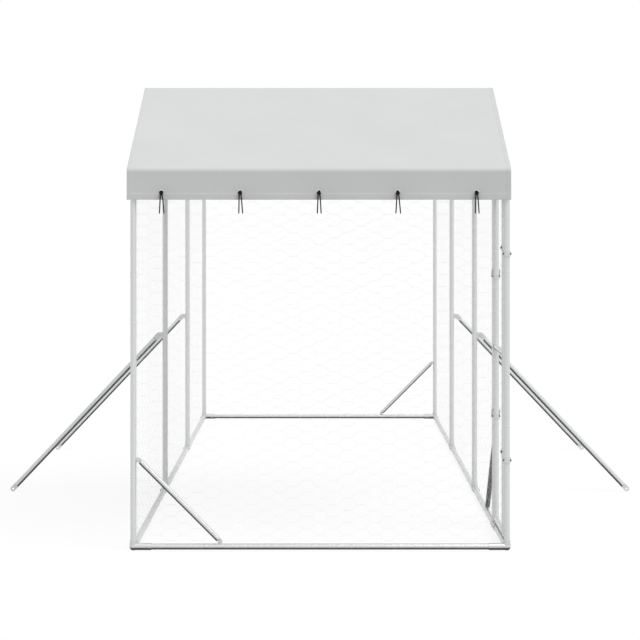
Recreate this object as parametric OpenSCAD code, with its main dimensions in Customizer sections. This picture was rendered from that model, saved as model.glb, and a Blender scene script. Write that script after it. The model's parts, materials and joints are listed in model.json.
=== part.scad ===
// Outdoor dog kennel run: a round-tube frame on ball fittings, wire netting, a side door and a tied cover.
// X runs across the front, Y from the front to the back and Z up. The origin is on the ground, mid-run.

/* [Run] */
// Width over the posts
run_w = 2000; // [1700:10:2400]
// Length over the posts
run_l = 6000; // [5400:10:7200]
// Height of the top rails' upper side
eave_h = 2010; // [1900:10:2200]
// Height of the ridge rail's centre line
ridge_z = 2475; // [2400:5:2600]

/* [Tube] */
// Outer diameter of the posts, rails and stays
tube_d = 32; // [30:0.5:36]
// Wall of every tube
tube_wall = 1.2; // [0.8:0.1:2]

/* [Fittings] */
// Radial play of a tube in its socket
socket_gap = 0.2; // [0.1:0.05:0.4]
// Wall of a sleeve
sleeve_wall = 2.3; // [1.8:0.1:3]
// How far the ball stands out from its sleeves
hub_rise = 2; // [1.6:0.1:4]
// Height of the flat cut under a bottom ball
foot_cut = 1.5; // [0.8:0.1:2]
// Length of a rail sleeve from the ball's centre
arm_l = 95; // [80:1:120]
// Length of a post collar from the ball's centre
collar_l = 34; // [30:1:50]
// Length of a rafter sleeve from the ball's centre
rafter_arm_l = 145; // [135:1:170]
// Where a rafter socket starts
rafter_socket = 85; // [82:1:95]
// Diameter of a set screw
screw_d = 8; // [6:0.5:10]
// Width of the hex heads and nuts across their flats
hex_flats = 13; // [12:0.5:15]
// Height of the hex heads and nuts
hex_h = 5.5; // [4:0.5:7]

/* [Braces] */
// Outer diameter of a brace
brace_d = 29; // [25:0.5:31]
// Leg of the brace triangle, from the post line and from the ground
brace_leg = 505; // [350:5:700]
// Thickness of the flat eye tongues
tongue_t = 6; // [4:0.5:8]
// Radius of a brace eye
brace_eye_r = 11; // [10:0.5:14]
// Gap between a brace's tube and the round of its lugs
brace_tongue_gap = 2; // [1.5:0.5:15]
// Thickness of a lug plate
lug_t = 4; // [3:0.5:5]
// Bolt diameter in the brace and stay eyes
lug_bolt_d = 10; // [8:0.5:12]

/* [Stays] */
// Height of a stay's bolt on its post
stay_top_z = 994; // [800:2:1200]
// Distance from the post line to the foot eye
stay_reach = 966; // [800:1:1200]
// Radius of a stay eye
stay_eye_r = 16.5; // [14:0.5:20]
// Length of a stay tongue from its eye to the tube
stay_tongue = 34; // [30:0.5:45]
// Peg hole in the foot eye
peg_hole_d = 13; // [8:0.5:16]

/* [Door] */
// Door post, behind the front post
door_post_at = 650; // [600:5:900]
// Hinge stile, behind the front post
hinge_stile_at = 108; // [100:1:120]
// Gap between the latch stile's and the door post's centre lines
latch_gap = 62; // [58:1:70]
// Lower end of the stiles
door_bottom = 53; // [48:1:120]
// Gap between the stiles' upper ends and the top rail's centre line
door_head_gap = 43; // [40:1:80]
// Height of the middle rail
door_mid_z = 1027; // [900:1:1100]
// Diameter of the door's rails
door_rail_d = 30; // [24:0.5:30]
// Height of the lower hinge
hinge_low_z = 475; // [300:5:600]
// Height of the upper hinge
hinge_high_z = 1562; // [1400:5:1650]
// Height of the lower latch
latch_low_z = 640; // [560:5:800]
// Height of the upper latch
latch_high_z = 1422; // [1300:5:1500]
// Wall of the clamp bands
band_t = 4; // [3:0.5:4.5]
// Height of the clamp bands
band_h = 30; // [24:1:34]
// Hinge pin diameter
pin_d = 12; // [10:0.5:14]
// Latch pin diameter
latch_pin_d = 8; // [6:0.5:10]
// Thickness of a latch prong
prong_t = 3; // [2.5:0.1:3.2]
// Height of a latch prong
prong_h = 16; // [14:1:18]
// Angle by which the stored latch leans back from its closed position
latch_lift = 130; // [120:1:140]

/* [Cover] */
// Width of the cover across the run
cover_w = 2020; // [1980:2:2080]
// Cloth thickness
cloth_t = 1.5; // [1:0.1:2]
// Sideways place of the cover's middle on the frame
cover_shift = -6; // [-12:1:12]
// Front hem, below the eave rail's centre line
front_drop = 147; // [130:1:180]
// Rear hem, below the eave rail's centre line
rear_drop = 135; // [125:1:180]
// Eyelet centre above the hem
eyelet_up = 40; // [38:1:60]
// Distance from one tie to the next
tie_pitch = 414; // [300:1:440]
// Outer diameter of an eyelet
eyelet_d = 27; // [22:0.5:32]
// Hole of an eyelet
eyelet_hole = 15.4; // [14.8:0.2:17]
// Thickness of the tie cord
tie_d = 6.6; // [5.8:0.1:6.6]
// Diameter of a knot
knot_d = 21; // [18:0.5:21]

/* [Netting] */
// Thickness of a netting panel
net_t = 2; // [1.5:0.1:3]
// Width of the netting's strands
net_strand = 8; // [5:1:14]
// Columns of cells in a full panel
net_columns = 4; // [3:1:5]
// Rows of cells in a panel
net_rows = 5; // [4:1:6]

/* [Hidden] */
$fn = 48;

// Post lines and levels
bays = 3;
px = (run_w - tube_d) / 2;
py = (run_l - tube_d) / 2;
bay = 2 * py / bays;
function post_y(i) = i * bay - py;
door_y = post_y(0) + door_post_at;
rail_top = eave_h - tube_d / 2;

// Fitting sizes
socket_d = tube_d + 2 * socket_gap;
sleeve_d = socket_d + 2 * sleeve_wall;
hub_r = sleeve_d / 2 + hub_rise;
foot_z = hub_r - foot_cut;
core_wall = 3;
socket_at = tube_d / 2 + core_wall;
end_gap = 0.3;
tube_from = socket_at + end_gap;
arm_from = 7;
screw_in = 30;
boss_d = 16;
boss_rise = 2;
boss_r = sleeve_d / 2 + boss_rise;
screw_play = 0.1;
hex_d = hex_flats / cos(30);

// Running clearances
run_gap = 0.3;
pin_gap = 0.05;
weld_gap = 0.05;
over = 1;

// Roof slope, from the eave rails to the ridge
ridge_y = post_y(0) + bay / 2;
roof_rise = ridge_z - rail_top;
pitch = atan2(roof_rise, bay / 2);
cover_in = max(hub_r, tube_d / 2 + run_gap + tie_d) + run_gap;
cover_out = cover_in + cloth_t;
cover_mid = cover_in + cloth_t / 2;

// Colours
zinc = [0.8, 0.81, 0.82];
dull = [0.42, 0.43, 0.44];
cast = [0.74, 0.75, 0.76];
cloth = [0.78, 0.79, 0.78];
black = [0.09, 0.09, 0.1];

function unit(v) = v / norm(v);

// Turns the Z axis to the direction v
module aim(v) {
  rotate([0, acos(v.z / norm(v)), atan2(v.y, v.x)]) children();
}

// Hollow tube from p to q
module tube(p, q, d = tube_d) {
  translate(p) aim(q - p) difference() {
    cylinder(d = d, h = norm(q - p));
    translate([0, 0, -over]) cylinder(d = d - 2 * tube_wall, h = norm(q - p) + 2 * over);
  }
}

// Tube between two fittings, with its ends in their sockets
module rail(p, q, from_p = tube_from, from_q = tube_from) {
  u = unit(q - p);
  tube(p + from_p * u, q - from_q * u);
}

module cross_rail(y, z) {
  rail([-px, y, z], [px, y, z]);
}

// Row of rails along a side, between the fittings at the places ys
module side_rails(x, z, ys) {
  for (i = [0 : len(ys) - 2]) rail([x, ys[i], z], [x, ys[i + 1], z]);
}

module post(x, y) {
  rail([x, y, foot_z], [x, y, rail_top]);
}

post_ys = [for (i = [0 : bays]) post_y(i)];
door_ys = concat([post_y(0), door_y], [for (i = [1 : bays]) post_y(i)]);

module corner_posts() {
  color(zinc) for (sx = [-1, 1], y = [-py, py]) post(sx * px, y);
}

module middle_posts() {
  color(zinc) for (sx = [-1, 1], i = [1 : bays - 1]) post(sx * px, post_y(i));
}

module door_post() {
  color(zinc) post(px, door_y);
}

module front_bottom_rail() {
  color(zinc) cross_rail(-py, foot_z);
}

module back_bottom_rail() {
  color(zinc) cross_rail(py, foot_z);
}

module left_bottom_rails() {
  color(zinc) side_rails(-px, foot_z, post_ys);
}

module right_bottom_rails() {
  color(zinc) side_rails(px, foot_z, door_ys);
}

module front_eave_rail() {
  color(zinc) cross_rail(-py, rail_top);
}

module rear_eave_rail() {
  color(zinc) cross_rail(post_y(1), rail_top);
}

module middle_cross_rail() {
  color(zinc) cross_rail(post_y(2), rail_top);
}

module back_top_rail() {
  color(zinc) cross_rail(py, rail_top);
}

module left_top_rails() {
  color(zinc) side_rails(-px, rail_top, post_ys);
}

module right_top_rails() {
  color(zinc) side_rails(px, rail_top, door_ys);
}

module ridge_rail() {
  color(zinc) cross_rail(ridge_y, ridge_z);
}

module rafter_pair(y) {
  for (sx = [-1, 1])
    rail([sx * px, y, rail_top], [sx * px, ridge_y, ridge_z], rafter_socket + end_gap, tube_from);
}

module front_rafters() {
  color(zinc) rafter_pair(post_y(0));
}

module rear_rafters() {
  color(zinc) rafter_pair(post_y(1));
}

// An arm of a fitting is [direction, length, socket start, direction of its set screw or no value]
function rail_arm(v, w) = [v, arm_l, socket_at, w];
function post_arm(v) = [v, collar_l, socket_at, undef];
function rafter_arm(v, w) = [v, rafter_arm_l, rafter_socket, w];
function screw_at(arm) = unit(arm[0]) * (arm[1] - screw_in);
up = [0, 0, 1];
down = [0, 0, -1];
function across(s) = [s, 0, 0];
function along(s) = [0, s, 0];
function slope(s) = [0, s * cos(pitch), sin(pitch)];

module fitting(arms, foot = false) {
  difference() {
    union() {
      difference() {
        sphere(r = hub_r);
        if (foot) translate([-hub_r, -hub_r, -foot_z - 2 * hub_r]) cube(2 * hub_r);
      }
      for (a = arms) {
        aim(a[0]) translate([0, 0, arm_from]) cylinder(d = sleeve_d, h = a[1] - arm_from);
        if (a[3]) translate(screw_at(a)) aim(a[3]) cylinder(d = boss_d, h = boss_r);
      }
    }
    for (a = arms) {
      aim(a[0]) translate([0, 0, a[2]]) cylinder(d = socket_d, h = a[1]);
      if (a[3]) translate(screw_at(a)) aim(a[3])
        cylinder(d = screw_d + 2 * screw_play, h = boss_r + over);
    }
  }
}

module set_screws(arms) {
  tip = socket_d / 2;
  for (a = arms) if (a[3]) translate(screw_at(a)) aim(a[3]) {
    translate([0, 0, tip]) cylinder(d = screw_d, h = boss_r - tip + over);
    translate([0, 0, boss_r]) cylinder(d = hex_d, h = hex_h, $fn = 6);
  }
}

function corner_arms(sx, sy, v) = [
  rail_arm(across(-sx), v.z > 0 ? along(-sy) : down),
  rail_arm(along(-sy), across(sx)),
  post_arm(v)
];
function tee_arms(sx, v) = [
  rail_arm(along(-1), across(sx)),
  rail_arm(along(1), across(sx)),
  post_arm(v)
];
function cross_tee_arms(sx) = concat(tee_arms(sx, down), [rail_arm(across(-sx), down)]);
function eave_arms(sx, front) = concat(
  front ? corner_arms(sx, -1, down) : cross_tee_arms(sx),
  [rafter_arm(slope(front ? 1 : -1), across(sx))]
);
function ridge_arms(sx) = [
  rail_arm(across(-sx), down),
  rail_arm([0, -cos(pitch), -sin(pitch)], across(sx)),
  rail_arm([0, cos(pitch), -sin(pitch)], across(sx))
];

// Places of the fittings, each [position, arms]
bottom_corners = [for (sx = [-1, 1], sy = [-1, 1]) [[sx * px, sy * py, foot_z], corner_arms(sx, sy, up)]];
bottom_tees = concat(
  [for (sx = [-1, 1], i = [1 : bays - 1]) [[sx * px, post_y(i), foot_z], tee_arms(sx, up)]],
  [[[px, door_y, foot_z], tee_arms(1, up)]]
);
eaves = [for (sx = [-1, 1], i = [0, 1]) [[sx * px, post_y(i), rail_top], eave_arms(sx, i == 0)]];
top_tees = concat(
  [for (sx = [-1, 1], i = [2 : bays - 1]) [[sx * px, post_y(i), rail_top], cross_tee_arms(sx)]],
  [[[px, door_y, rail_top], tee_arms(1, down)]]
);
back_tops = [for (sx = [-1, 1]) [[sx * px, py, rail_top], corner_arms(sx, 1, down)]];
ridges = [for (sx = [-1, 1]) [[sx * px, ridge_y, ridge_z], ridge_arms(sx)]];

module fittings(places, foot = false) {
  color(cast) for (f = places) translate(f[0]) fitting(f[1], foot);
}

module bottom_corner_fittings() {
  fittings(bottom_corners, true);
}

module bottom_tee_fittings() {
  fittings(bottom_tees, true);
}

module eave_fittings() {
  fittings(eaves);
}

module top_tee_fittings() {
  fittings(top_tees);
}

module back_top_fittings() {
  fittings(back_tops);
}

module ridge_fittings() {
  fittings(ridges);
}

module fitting_screws() {
  places = concat(bottom_corners, bottom_tees, eaves, top_tees, back_tops, ridges);
  color(cast) for (f = places) translate(f[0]) set_screws(f[1]);
}

// Braces and stays: a tube with a flat tongue and a bolt eye at each end
lug_in = tongue_t / 2 + run_gap;
lug_out = lug_in + lug_t;
cap_t = 3;
brace_clear = 2;
stay_clear = 7;
brace_out = tube_d / 2 + brace_clear + brace_eye_r;
stay_out = tube_d / 2 + stay_clear + stay_eye_r;
brace_tongue = brace_eye_r + brace_tongue_gap;
lug_hole_d = lug_bolt_d + 2 * pin_gap;

// Flat tongue from its eye at the origin along Z, with the bolt along Y
module tongue(eye_r, l) {
  rotate([90, 0, 0]) linear_extrude(tongue_t, center = true) {
    circle(r = eye_r);
    translate([-eye_r, 0]) square([2 * eye_r, l]);
  }
}

// Tube with tongues along Z, l from eye to eye
module eyed_tube(d, l, eye_r, tongue_l, holes) {
  difference() {
    union() {
      tongue(eye_r, tongue_l);
      translate([0, 0, l]) rotate([180, 0, 0]) tongue(eye_r, tongue_l);
      translate([0, 0, tongue_l]) cylinder(d = d, h = l - 2 * tongue_l);
    }
    translate([0, 0, tongue_l + cap_t]) cylinder(d = d - 2 * tube_wall, h = l - 2 * (tongue_l + cap_t));
    for (i = [0, 1]) translate([0, 0, i * l]) rotate([90, 0, 0])
      cylinder(d = holes[i], h = tongue_t + 2 * over, center = true);
  }
}

// Two plates welded to a tube along Z, that reach out along X to a bolt along Y
module lug_pair(out, eye_r) {
  difference() {
    for (s = [-1, 1]) translate([0, s * (lug_in + lug_t / 2), 0])
      rotate([90, 0, 0]) linear_extrude(lug_t, center = true) {
        translate([out, 0]) circle(r = eye_r);
        translate([0, -eye_r]) square([out, 2 * eye_r]);
      }
    cylinder(d = tube_d + 2 * weld_gap, h = 2 * eye_r + 2 * over, center = true);
    translate([out, 0, 0]) rotate([90, 0, 0])
      cylinder(d = lug_hole_d, h = 2 * lug_out + 2 * over, center = true);
  }
}

// Bolt along Y through a lug pair
module lug_bolt() {
  rotate([90, 0, 0]) {
    cylinder(d = lug_bolt_d, h = 2 * lug_out, center = true);
    translate([0, 0, lug_out]) cylinder(d = hex_d, h = hex_h, $fn = 6);
    translate([0, 0, -lug_out - hex_h]) cylinder(d = hex_d, h = hex_h, $fn = 6);
  }
}

// A brace lies in the plane of its panel, drawn from the foot of its post along X
brace_far = brace_leg - foot_z - brace_out;
brace_high = brace_leg - brace_out;
module brace() {
  a = [brace_out, 0, brace_high];
  b = [brace_far, 0, foot_z + brace_out];
  translate(a) aim(b - a)
    eyed_tube(brace_d, norm(b - a), brace_eye_r, brace_tongue, [lug_hole_d, lug_hole_d]);
}

module brace_lug_set() {
  translate([0, 0, brace_high]) lug_pair(brace_out, brace_eye_r);
  translate([brace_far, 0, foot_z]) rotate([0, -90, 0]) lug_pair(brace_out, brace_eye_r);
}

module brace_bolt_set() {
  translate([brace_out, 0, brace_high]) lug_bolt();
  translate([brace_far, 0, foot_z + brace_out]) lug_bolt();
}

// The three braced corners: the post's place and the turn to the rail
brace_places = [[[-px, -py, 0], 0], [[px, py, 0], 180], [[px, door_y, 0], 90]];
module at_brace(i) {
  translate(brace_places[i][0]) rotate([0, 0, brace_places[i][1]]) children();
}

module front_brace() {
  color(zinc) at_brace(0) brace();
}

module back_brace() {
  color(zinc) at_brace(1) brace();
}

module side_brace() {
  color(zinc) at_brace(2) brace();
}

module brace_lugs() {
  color(cast) for (i = [0 : 2]) at_brace(i) brace_lug_set();
}

// A stay is drawn from its post along X
module at_stay(sx, i) {
  translate([sx * px, post_y(i), 0]) rotate([0, 0, sx > 0 ? 0 : 180]) children();
}

module stay(sx, i) {
  a = [stay_out, 0, stay_top_z];
  b = [stay_reach, 0, stay_eye_r];
  color(zinc) at_stay(sx, i) translate(a) aim(b - a)
    eyed_tube(tube_d, norm(b - a), stay_eye_r, stay_tongue, [lug_hole_d, peg_hole_d]);
}

module stay_left_near() {
  stay(-1, 1);
}

module stay_right_near() {
  stay(1, 1);
}

module stay_left_far() {
  stay(-1, 2);
}

module stay_right_far() {
  stay(1, 2);
}

module stay_lugs() {
  color(cast) for (sx = [-1, 1], i = [1 : bays - 1]) at_stay(sx, i)
    translate([0, 0, stay_top_z]) lug_pair(stay_out, stay_eye_r);
}

module lug_bolts() {
  color(cast) {
    for (i = [0 : 2]) at_brace(i) brace_bolt_set();
    for (sx = [-1, 1], i = [1 : bays - 1]) at_stay(sx, i)
      translate([stay_out, 0, stay_top_z]) lug_bolt();
  }
}

// Netting: six-sided cells with level upper and lower edges, staggered by column
net_gap = 1.5;
net_side = hub_r + net_gap;
net_rim = 26;
net_slant = 0.44;
slant_strand = 0.7 * net_strand;
net_pitch = (2 * px - 2 * (net_side + net_rim)) / (net_columns + net_slant);

// One cell round the origin, dx the reach of a slanted edge
module net_cell(pitch_x, pitch_z) {
  dx = net_slant * pitch_x;
  flat = (pitch_x - dx) / 2;
  half = (pitch_z - net_strand) / 2;
  tip = flat + dx - slant_strand;
  polygon([[-tip, 0], [-flat, half], [flat, half], [tip, 0], [flat, -half], [-flat, -half]]);
}

// Sheet of cells, w by h from its lower left corner, with its corners cut round the sleeves and its
// upper rim cut round the ties at the places slots
module net_sheet(w, h, cut_x, cut_z, slots = []) {
  inner_w = w - 2 * net_rim;
  columns = max(1, round(inner_w / net_pitch));
  step_x = inner_w / (columns + net_slant);
  inner_h = h - 2 * net_rim;
  step_z = inner_h / net_rows;
  linear_extrude(net_t) difference() {
    square([w, h]);
    if (cut_x > 0) for (x = [0, w], z = [0, h])
      translate([x, z]) square([2 * cut_x, 2 * cut_z], center = true);
    for (x = slots) translate([x, h]) square([net_slot_w, 2 * net_slot_h], center = true);
    intersection() {
      translate([net_rim, net_rim]) square([inner_w, inner_h]);
      translate([net_rim, net_rim]) for (i = [-1 : columns], j = [0 : net_rows])
        translate([(i + (1 + net_slant) / 2) * step_x, (j + (i % 2 == 0 ? 0.5 : 0)) * step_z])
          if (i % 2 != 0 || j < net_rows) net_cell(step_x, step_z);
    }
  }
}

net_h = rail_top - foot_z;
net_past = 4;
net_cut_x = arm_l + net_past - net_side;
net_cut_z = boss_r + hex_h + net_gap;
net_slot_w = 3 * tie_d;
net_slot_h = 23;

// Panel on the inner side of a frame opening, across the run at y or along a side from y0 to y1
module net_across(y, inward, slots = []) {
  translate([-px + net_side, y + inward * (tube_d / 2 + run_gap), foot_z])
    rotate([90, 0, 0]) translate([0, 0, inward > 0 ? -net_t : 0])
      net_sheet(2 * (px - net_side), net_h, net_cut_x, net_cut_z, slots);
}

module net_along(sx, y0, y1) {
  translate([sx * (px - tube_d / 2 - run_gap), y0 + net_side, foot_z])
    rotate([90, 0, 90]) translate([0, 0, sx > 0 ? -net_t : 0])
      net_sheet(y1 - y0 - 2 * net_side, net_h, net_cut_x, net_cut_z);
}

module front_net() {
  color(zinc) net_across(-py, 1, [for (i = [0 : ties - 1]) tie_x(i) + px - net_side]);
}

module back_net() {
  color(zinc) net_across(py, -1);
}

module left_nets() {
  color(zinc) for (i = [0 : bays - 1]) net_along(-1, post_y(i), post_y(i + 1));
}

module right_nets() {
  color(zinc) {
    net_along(1, door_y, post_y(1));
    for (i = [1 : bays - 1]) net_along(1, post_y(i), post_y(i + 1));
  }
}

// Roof cover, in Y and Z from the eave rail's centre line, with the outer side at -Y
function eave_point(c) = [-c, c * cos(pitch) - c * (1 - sin(pitch)) * tan(pitch)];
function ridge_point(c) = [bay / 2, roof_rise + c / cos(pitch)];
function hem_points(drop) = [[-cover_out, -drop], [-cover_in, -drop]];
slope_points = [
  eave_point(cover_out), eave_point(cover_in), ridge_point(cover_in), ridge_point(cover_out)
];
function valance_points(drop) = concat(hem_points(drop), [eave_point(cover_in), eave_point(cover_out)]);

// Places the children at the front eave, or mirrored at the rear eave
module at_eave(rear) {
  translate([0, post_y(rear ? 1 : 0), rail_top]) mirror([0, rear ? 1 : 0, 0]) children();
}

module cover_strip(points, w = cover_w, at = cover_shift) {
  translate([at, 0, 0]) rotate([90, 0, 90]) linear_extrude(w, center = true) polygon(points);
}

ties = 5;
function tie_x(i) = cover_shift + (i - (ties - 1) / 2) * tie_pitch;
function eave_drop(rear) = rear ? rear_drop : front_drop;
function eyelet_z(rear) = eyelet_up - eave_drop(rear);
eyelet_lip = 1;
barrel_d = eyelet_hole + 2;
barrel_gap = 0.15;

// Places the children at each eyelet's centre, with Y inward
module at_eyelets(rear) {
  at_eave(rear) for (i = [0 : ties - 1]) translate([tie_x(i), -cover_mid, eyelet_z(rear)]) children();
}

// The rear valance hangs between the side rails, so the cover is notched over them
rear_w = 2 * (px - net_side);
notch_from = 6;

module rear_notches() {
  for (s = [0, 1]) mirror([s, 0, 0]) translate([rear_w / 2, -cover_out - over, 0])
    cube([cover_w - rear_w, cover_out + over - notch_from, 2 * cover_out]);
}

module valance(rear) {
  color(cloth) difference() {
    at_eave(rear)
      cover_strip(valance_points(eave_drop(rear)), rear ? rear_w : cover_w, rear ? 0 : cover_shift);
    at_eyelets(rear) rotate([90, 0, 0])
      cylinder(d = barrel_d + 2 * barrel_gap, h = cloth_t + 2 * over, center = true);
  }
}

module cover_front_valance() {
  valance(false);
}

module cover_rear_valance() {
  valance(true);
}

module cover_front_slope() {
  color(cloth) at_eave(false) cover_strip(slope_points);
}

module cover_rear_slope() {
  color(cloth) at_eave(true) difference() {
    cover_strip(slope_points);
    rear_notches();
  }
}

module eyelet() {
  half = cloth_t / 2 + barrel_gap;
  rotate([90, 0, 0]) difference() {
    union() {
      cylinder(d = barrel_d, h = 2 * half, center = true);
      for (s = [-1, 1]) translate([0, 0, s * (half + eyelet_lip / 2)])
        cylinder(d = eyelet_d, h = eyelet_lip, center = true);
    }
    cylinder(d = eyelet_hole, h = 2 * (half + eyelet_lip + over), center = true);
  }
}

module eyelets() {
  color(cast) for (rear = [false, true]) at_eyelets(rear) eyelet();
}

// Round cord through points, its rings turned about the X axis
function tangent(p, i) = unit(p[min(i + 1, len(p) - 1)] - p[max(i - 1, 0)]);
function ring(p, i, r, n) =
  let (t = tangent(p, i), u = unit(cross([1, 0, 0], t)), v = cross(t, u))
  [for (j = [0 : n - 1]) p[i] + r * cos(360 * j / n) * u + r * sin(360 * j / n) * v];

module cord(p, d, n) {
  last = len(p) - 1;
  points = [for (i = [0 : last]) each ring(p, i, d / 2, n)];
  side = [for (i = [0 : last - 1], j = [0 : n - 1])
    let (a = i * n + j, b = i * n + (j + 1) % n)
    each [[a, a + n, b + n], [a, b + n, b]]];
  near = [for (j = [1 : n - 2]) [0, j, j + 1]];
  far = [for (j = [1 : n - 2]) [last * n, last * n + j + 1, last * n + j]];
  polyhedron(points, concat(side, near, far));
}

// A tie: the cord comes out of the knot, through the eyelet, over the eave rail and back
knot_out = cover_out + barrel_gap + eyelet_lip + run_gap + knot_d / 2;
knot_below = 4;
strand = tie_d / 2 + run_gap;
loop_r = tube_d / 2 + run_gap + tie_d / 2;
loop_back = 4;
loop_in = cover_in - tie_d / 2 - loop_back;
loop_rise = 5;
loop_steps = 12;
function loop_points(z) =
  let (
    z_in = z + loop_rise,
    reach = norm([loop_in, z_in]),
    toward = atan2(z_in, loop_in),
    touch = acos(loop_r / reach),
    a0 = toward + touch,
    a1 = toward - touch + 360
  )
  concat(
    [[-strand, -knot_out, z - knot_below], [-strand, -cover_mid, z], [-strand, -loop_in, z_in]],
    [for (k = [0 : loop_steps])
      let (f = k / loop_steps, a = a0 + f * (a1 - a0))
      [strand * (2 * f - 1), -loop_r * cos(a), loop_r * sin(a)]],
    [[strand, -loop_in, z_in], [strand, -cover_mid, z], [strand, -knot_out, z - knot_below]]
  );

module at_ties(rear) {
  at_eave(rear) for (i = [0 : ties - 1]) translate([tie_x(i), 0, 0]) children();
}

module tie_loops() {
  color(black) for (rear = [false, true]) at_ties(rear) cord(loop_points(eyelet_z(rear)), tie_d, 6);
}

module tie_knots() {
  color(black) for (rear = [false, true]) at_ties(rear)
    translate([0, -knot_out, eyelet_z(rear) - knot_below]) sphere(d = knot_d);
}

// Right tail of a tie, from the knot's centre: X to the side, Y inward and Z up
front_tail = [[4, -2, -6], [7, -2, -30], [10, -1, -68], [13, 0, -110]];
rear_tail = [[4, -2, -6], [14, -2, -18], [34, -2, -33]];
// Left tail of a front tie, which hangs straighter
straight_tail = [[-4, -2, -6], [-5.5, -2, -30], [-7, -1, -68], [-8.5, 0, -110]];

module tie_tails() {
  color(black) for (rear = [false, true]) at_ties(rear)
    translate([0, -knot_out, eyelet_z(rear) - knot_below])
      if (rear) for (s = [0, 1]) mirror([s, 0, 0]) cord(rear_tail, tie_d, 8);
      else for (tail = [front_tail, straight_tail]) cord(tail, tie_d, 8);
}

// Door: hinge pins on the front post, eyes on the hinge stile, forks on the latch stile
stile_y = post_y(0) + hinge_stile_at;
latch_y = door_y - latch_gap;
door_top = rail_top - door_head_gap;
band_gap = 0.1;
band_d = tube_d + 2 * (band_gap + band_t);
band_bolt_d = 5;
band_hex_flats = 8;
band_hex_d = band_hex_flats / cos(30);
band_hex_h = 4;
bolt_past = 6;
bolt_wall = 0.8;
ear_t = 16;
ear_h = 13;
ear_end = 3.9;
ear_bolt_at = tube_d / 2 + band_gap + bolt_wall + screw_play + band_bolt_d / 2;
seat_play = 0.5;
seat_at = ear_bolt_at - band_hex_flats / 2 - seat_play;
seat_h = band_hex_d + 2 * seat_play;
arm_t = 14;
pin_wall = 4;
boss_pin_d = pin_d + 2 * pin_wall;
pin_past = 8;

// Clamp band round a tube along Z, with an ear on each side along X
module clamp_body() {
  cylinder(d = band_d, h = band_h, center = true);
  cube([2 * (ear_bolt_at + ear_end), ear_t, ear_h], center = true);
}

// Holes of a clamp band for its tube and bolts, and the seats of the heads and nuts
module clamp_bores() {
  cylinder(d = tube_d + 2 * band_gap, h = band_h + 2 * over, center = true);
  for (s = [0, 1]) mirror([s, 0, 0]) {
    translate([ear_bolt_at, 0, 0]) rotate([90, 0, 0])
      cylinder(d = band_bolt_d + 2 * screw_play, h = ear_t + 2 * over, center = true);
    for (t = [0, 1]) mirror([0, t, 0])
      translate([seat_at, ear_t / 2, -seat_h / 2]) cube([band_d, bolt_past + over, seat_h]);
  }
}

// Hexagon of a clamp bolt's head or nut, with two flats toward the sides
module clamp_hex() {
  rotate([0, 0, 30]) cylinder(d = band_hex_d, h = band_hex_h, $fn = 6);
}

// Two bolts of a clamp band, with their heads toward -Y
module clamp_bolts() {
  for (s = [-1, 1]) translate([s * ear_bolt_at, 0, 0]) rotate([-90, 0, 0]) {
    translate([0, 0, -ear_t / 2 - over]) cylinder(d = band_bolt_d, h = ear_t + bolt_past + over);
    translate([0, 0, -ear_t / 2 - band_hex_h]) clamp_hex();
    translate([0, 0, ear_t / 2]) clamp_hex();
  }
}

// Clamp band with an arm along Y to a boss
module hinge_band(bore) {
  difference() {
    union() {
      clamp_body();
      translate([-arm_t / 2, 0, -band_h / 2]) cube([arm_t, hinge_stile_at / 2, band_h]);
      translate([0, hinge_stile_at / 2, 0]) cylinder(d = boss_pin_d, h = band_h, center = true);
    }
    clamp_bores();
    if (bore) translate([0, hinge_stile_at / 2, 0])
      cylinder(d = pin_d + 2 * pin_gap, h = band_h + 2 * over, center = true);
  }
}

hinge_zs = [hinge_low_z, hinge_high_z];
eye_up = band_h + run_gap;

module hinge_pintles() {
  color(cast) for (z = hinge_zs) translate([px, post_y(0), z]) {
    hinge_band(false);
    translate([0, hinge_stile_at / 2, 0]) cylinder(d = pin_d, h = eye_up + band_h / 2 + pin_past);
  }
}

module pintle_bolts() {
  color(dull) for (z = hinge_zs) translate([px, post_y(0), z]) clamp_bolts();
}

module hinge_eyes() {
  color(cast) for (z = hinge_zs) translate([px, stile_y, z + eye_up]) rotate([0, 0, 180]) hinge_band(true);
}

module stile(y) {
  tube([px, y, door_bottom], [px, y, door_top]);
}

module door_hinge_stile() {
  color(zinc) stile(stile_y);
}

module door_latch_stile() {
  color(zinc) stile(latch_y);
}

// Rail between the stiles, its ends cut to their round
module door_rail(z) {
  color(zinc) difference() {
    tube([px, stile_y, z], [px, latch_y, z], door_rail_d);
    for (y = [stile_y, latch_y]) translate([px, y, z])
      cylinder(d = tube_d + 2 * weld_gap, h = door_rail_d + 2 * over, center = true);
  }
}

door_edge = tube_d / 2;

module door_top_rail() {
  door_rail(door_top - door_edge);
}

module door_mid_rail() {
  door_rail(door_mid_z);
}

module door_bottom_rail() {
  door_rail(door_bottom + door_edge);
}

plug_l = 15;
plug_gap = 0.2;
cap_h = 3;
cap_lip = 0.5;

// Stile end plug, drawn with its seat at the origin and its cap upward
module stile_cap() {
  cylinder(d = tube_d + 2 * cap_lip, h = cap_h);
  translate([0, 0, -plug_l]) cylinder(d = tube_d - 2 * (tube_wall + plug_gap), h = plug_l + over);
}

module door_caps() {
  color(black) for (y = [stile_y, latch_y]) {
    translate([px, y, door_top]) stile_cap();
    translate([px, y, door_bottom]) mirror([0, 0, 1]) stile_cap();
  }
}

module door_net() {
  low = door_bottom + door_edge;
  color(zinc) translate([px - door_rail_d / 2 - run_gap - net_t, stile_y + net_side, low])
    rotate([90, 0, 90])
      net_sheet(latch_y - stile_y - 2 * net_side, door_top - door_edge - low, 0, 0);
}

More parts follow.
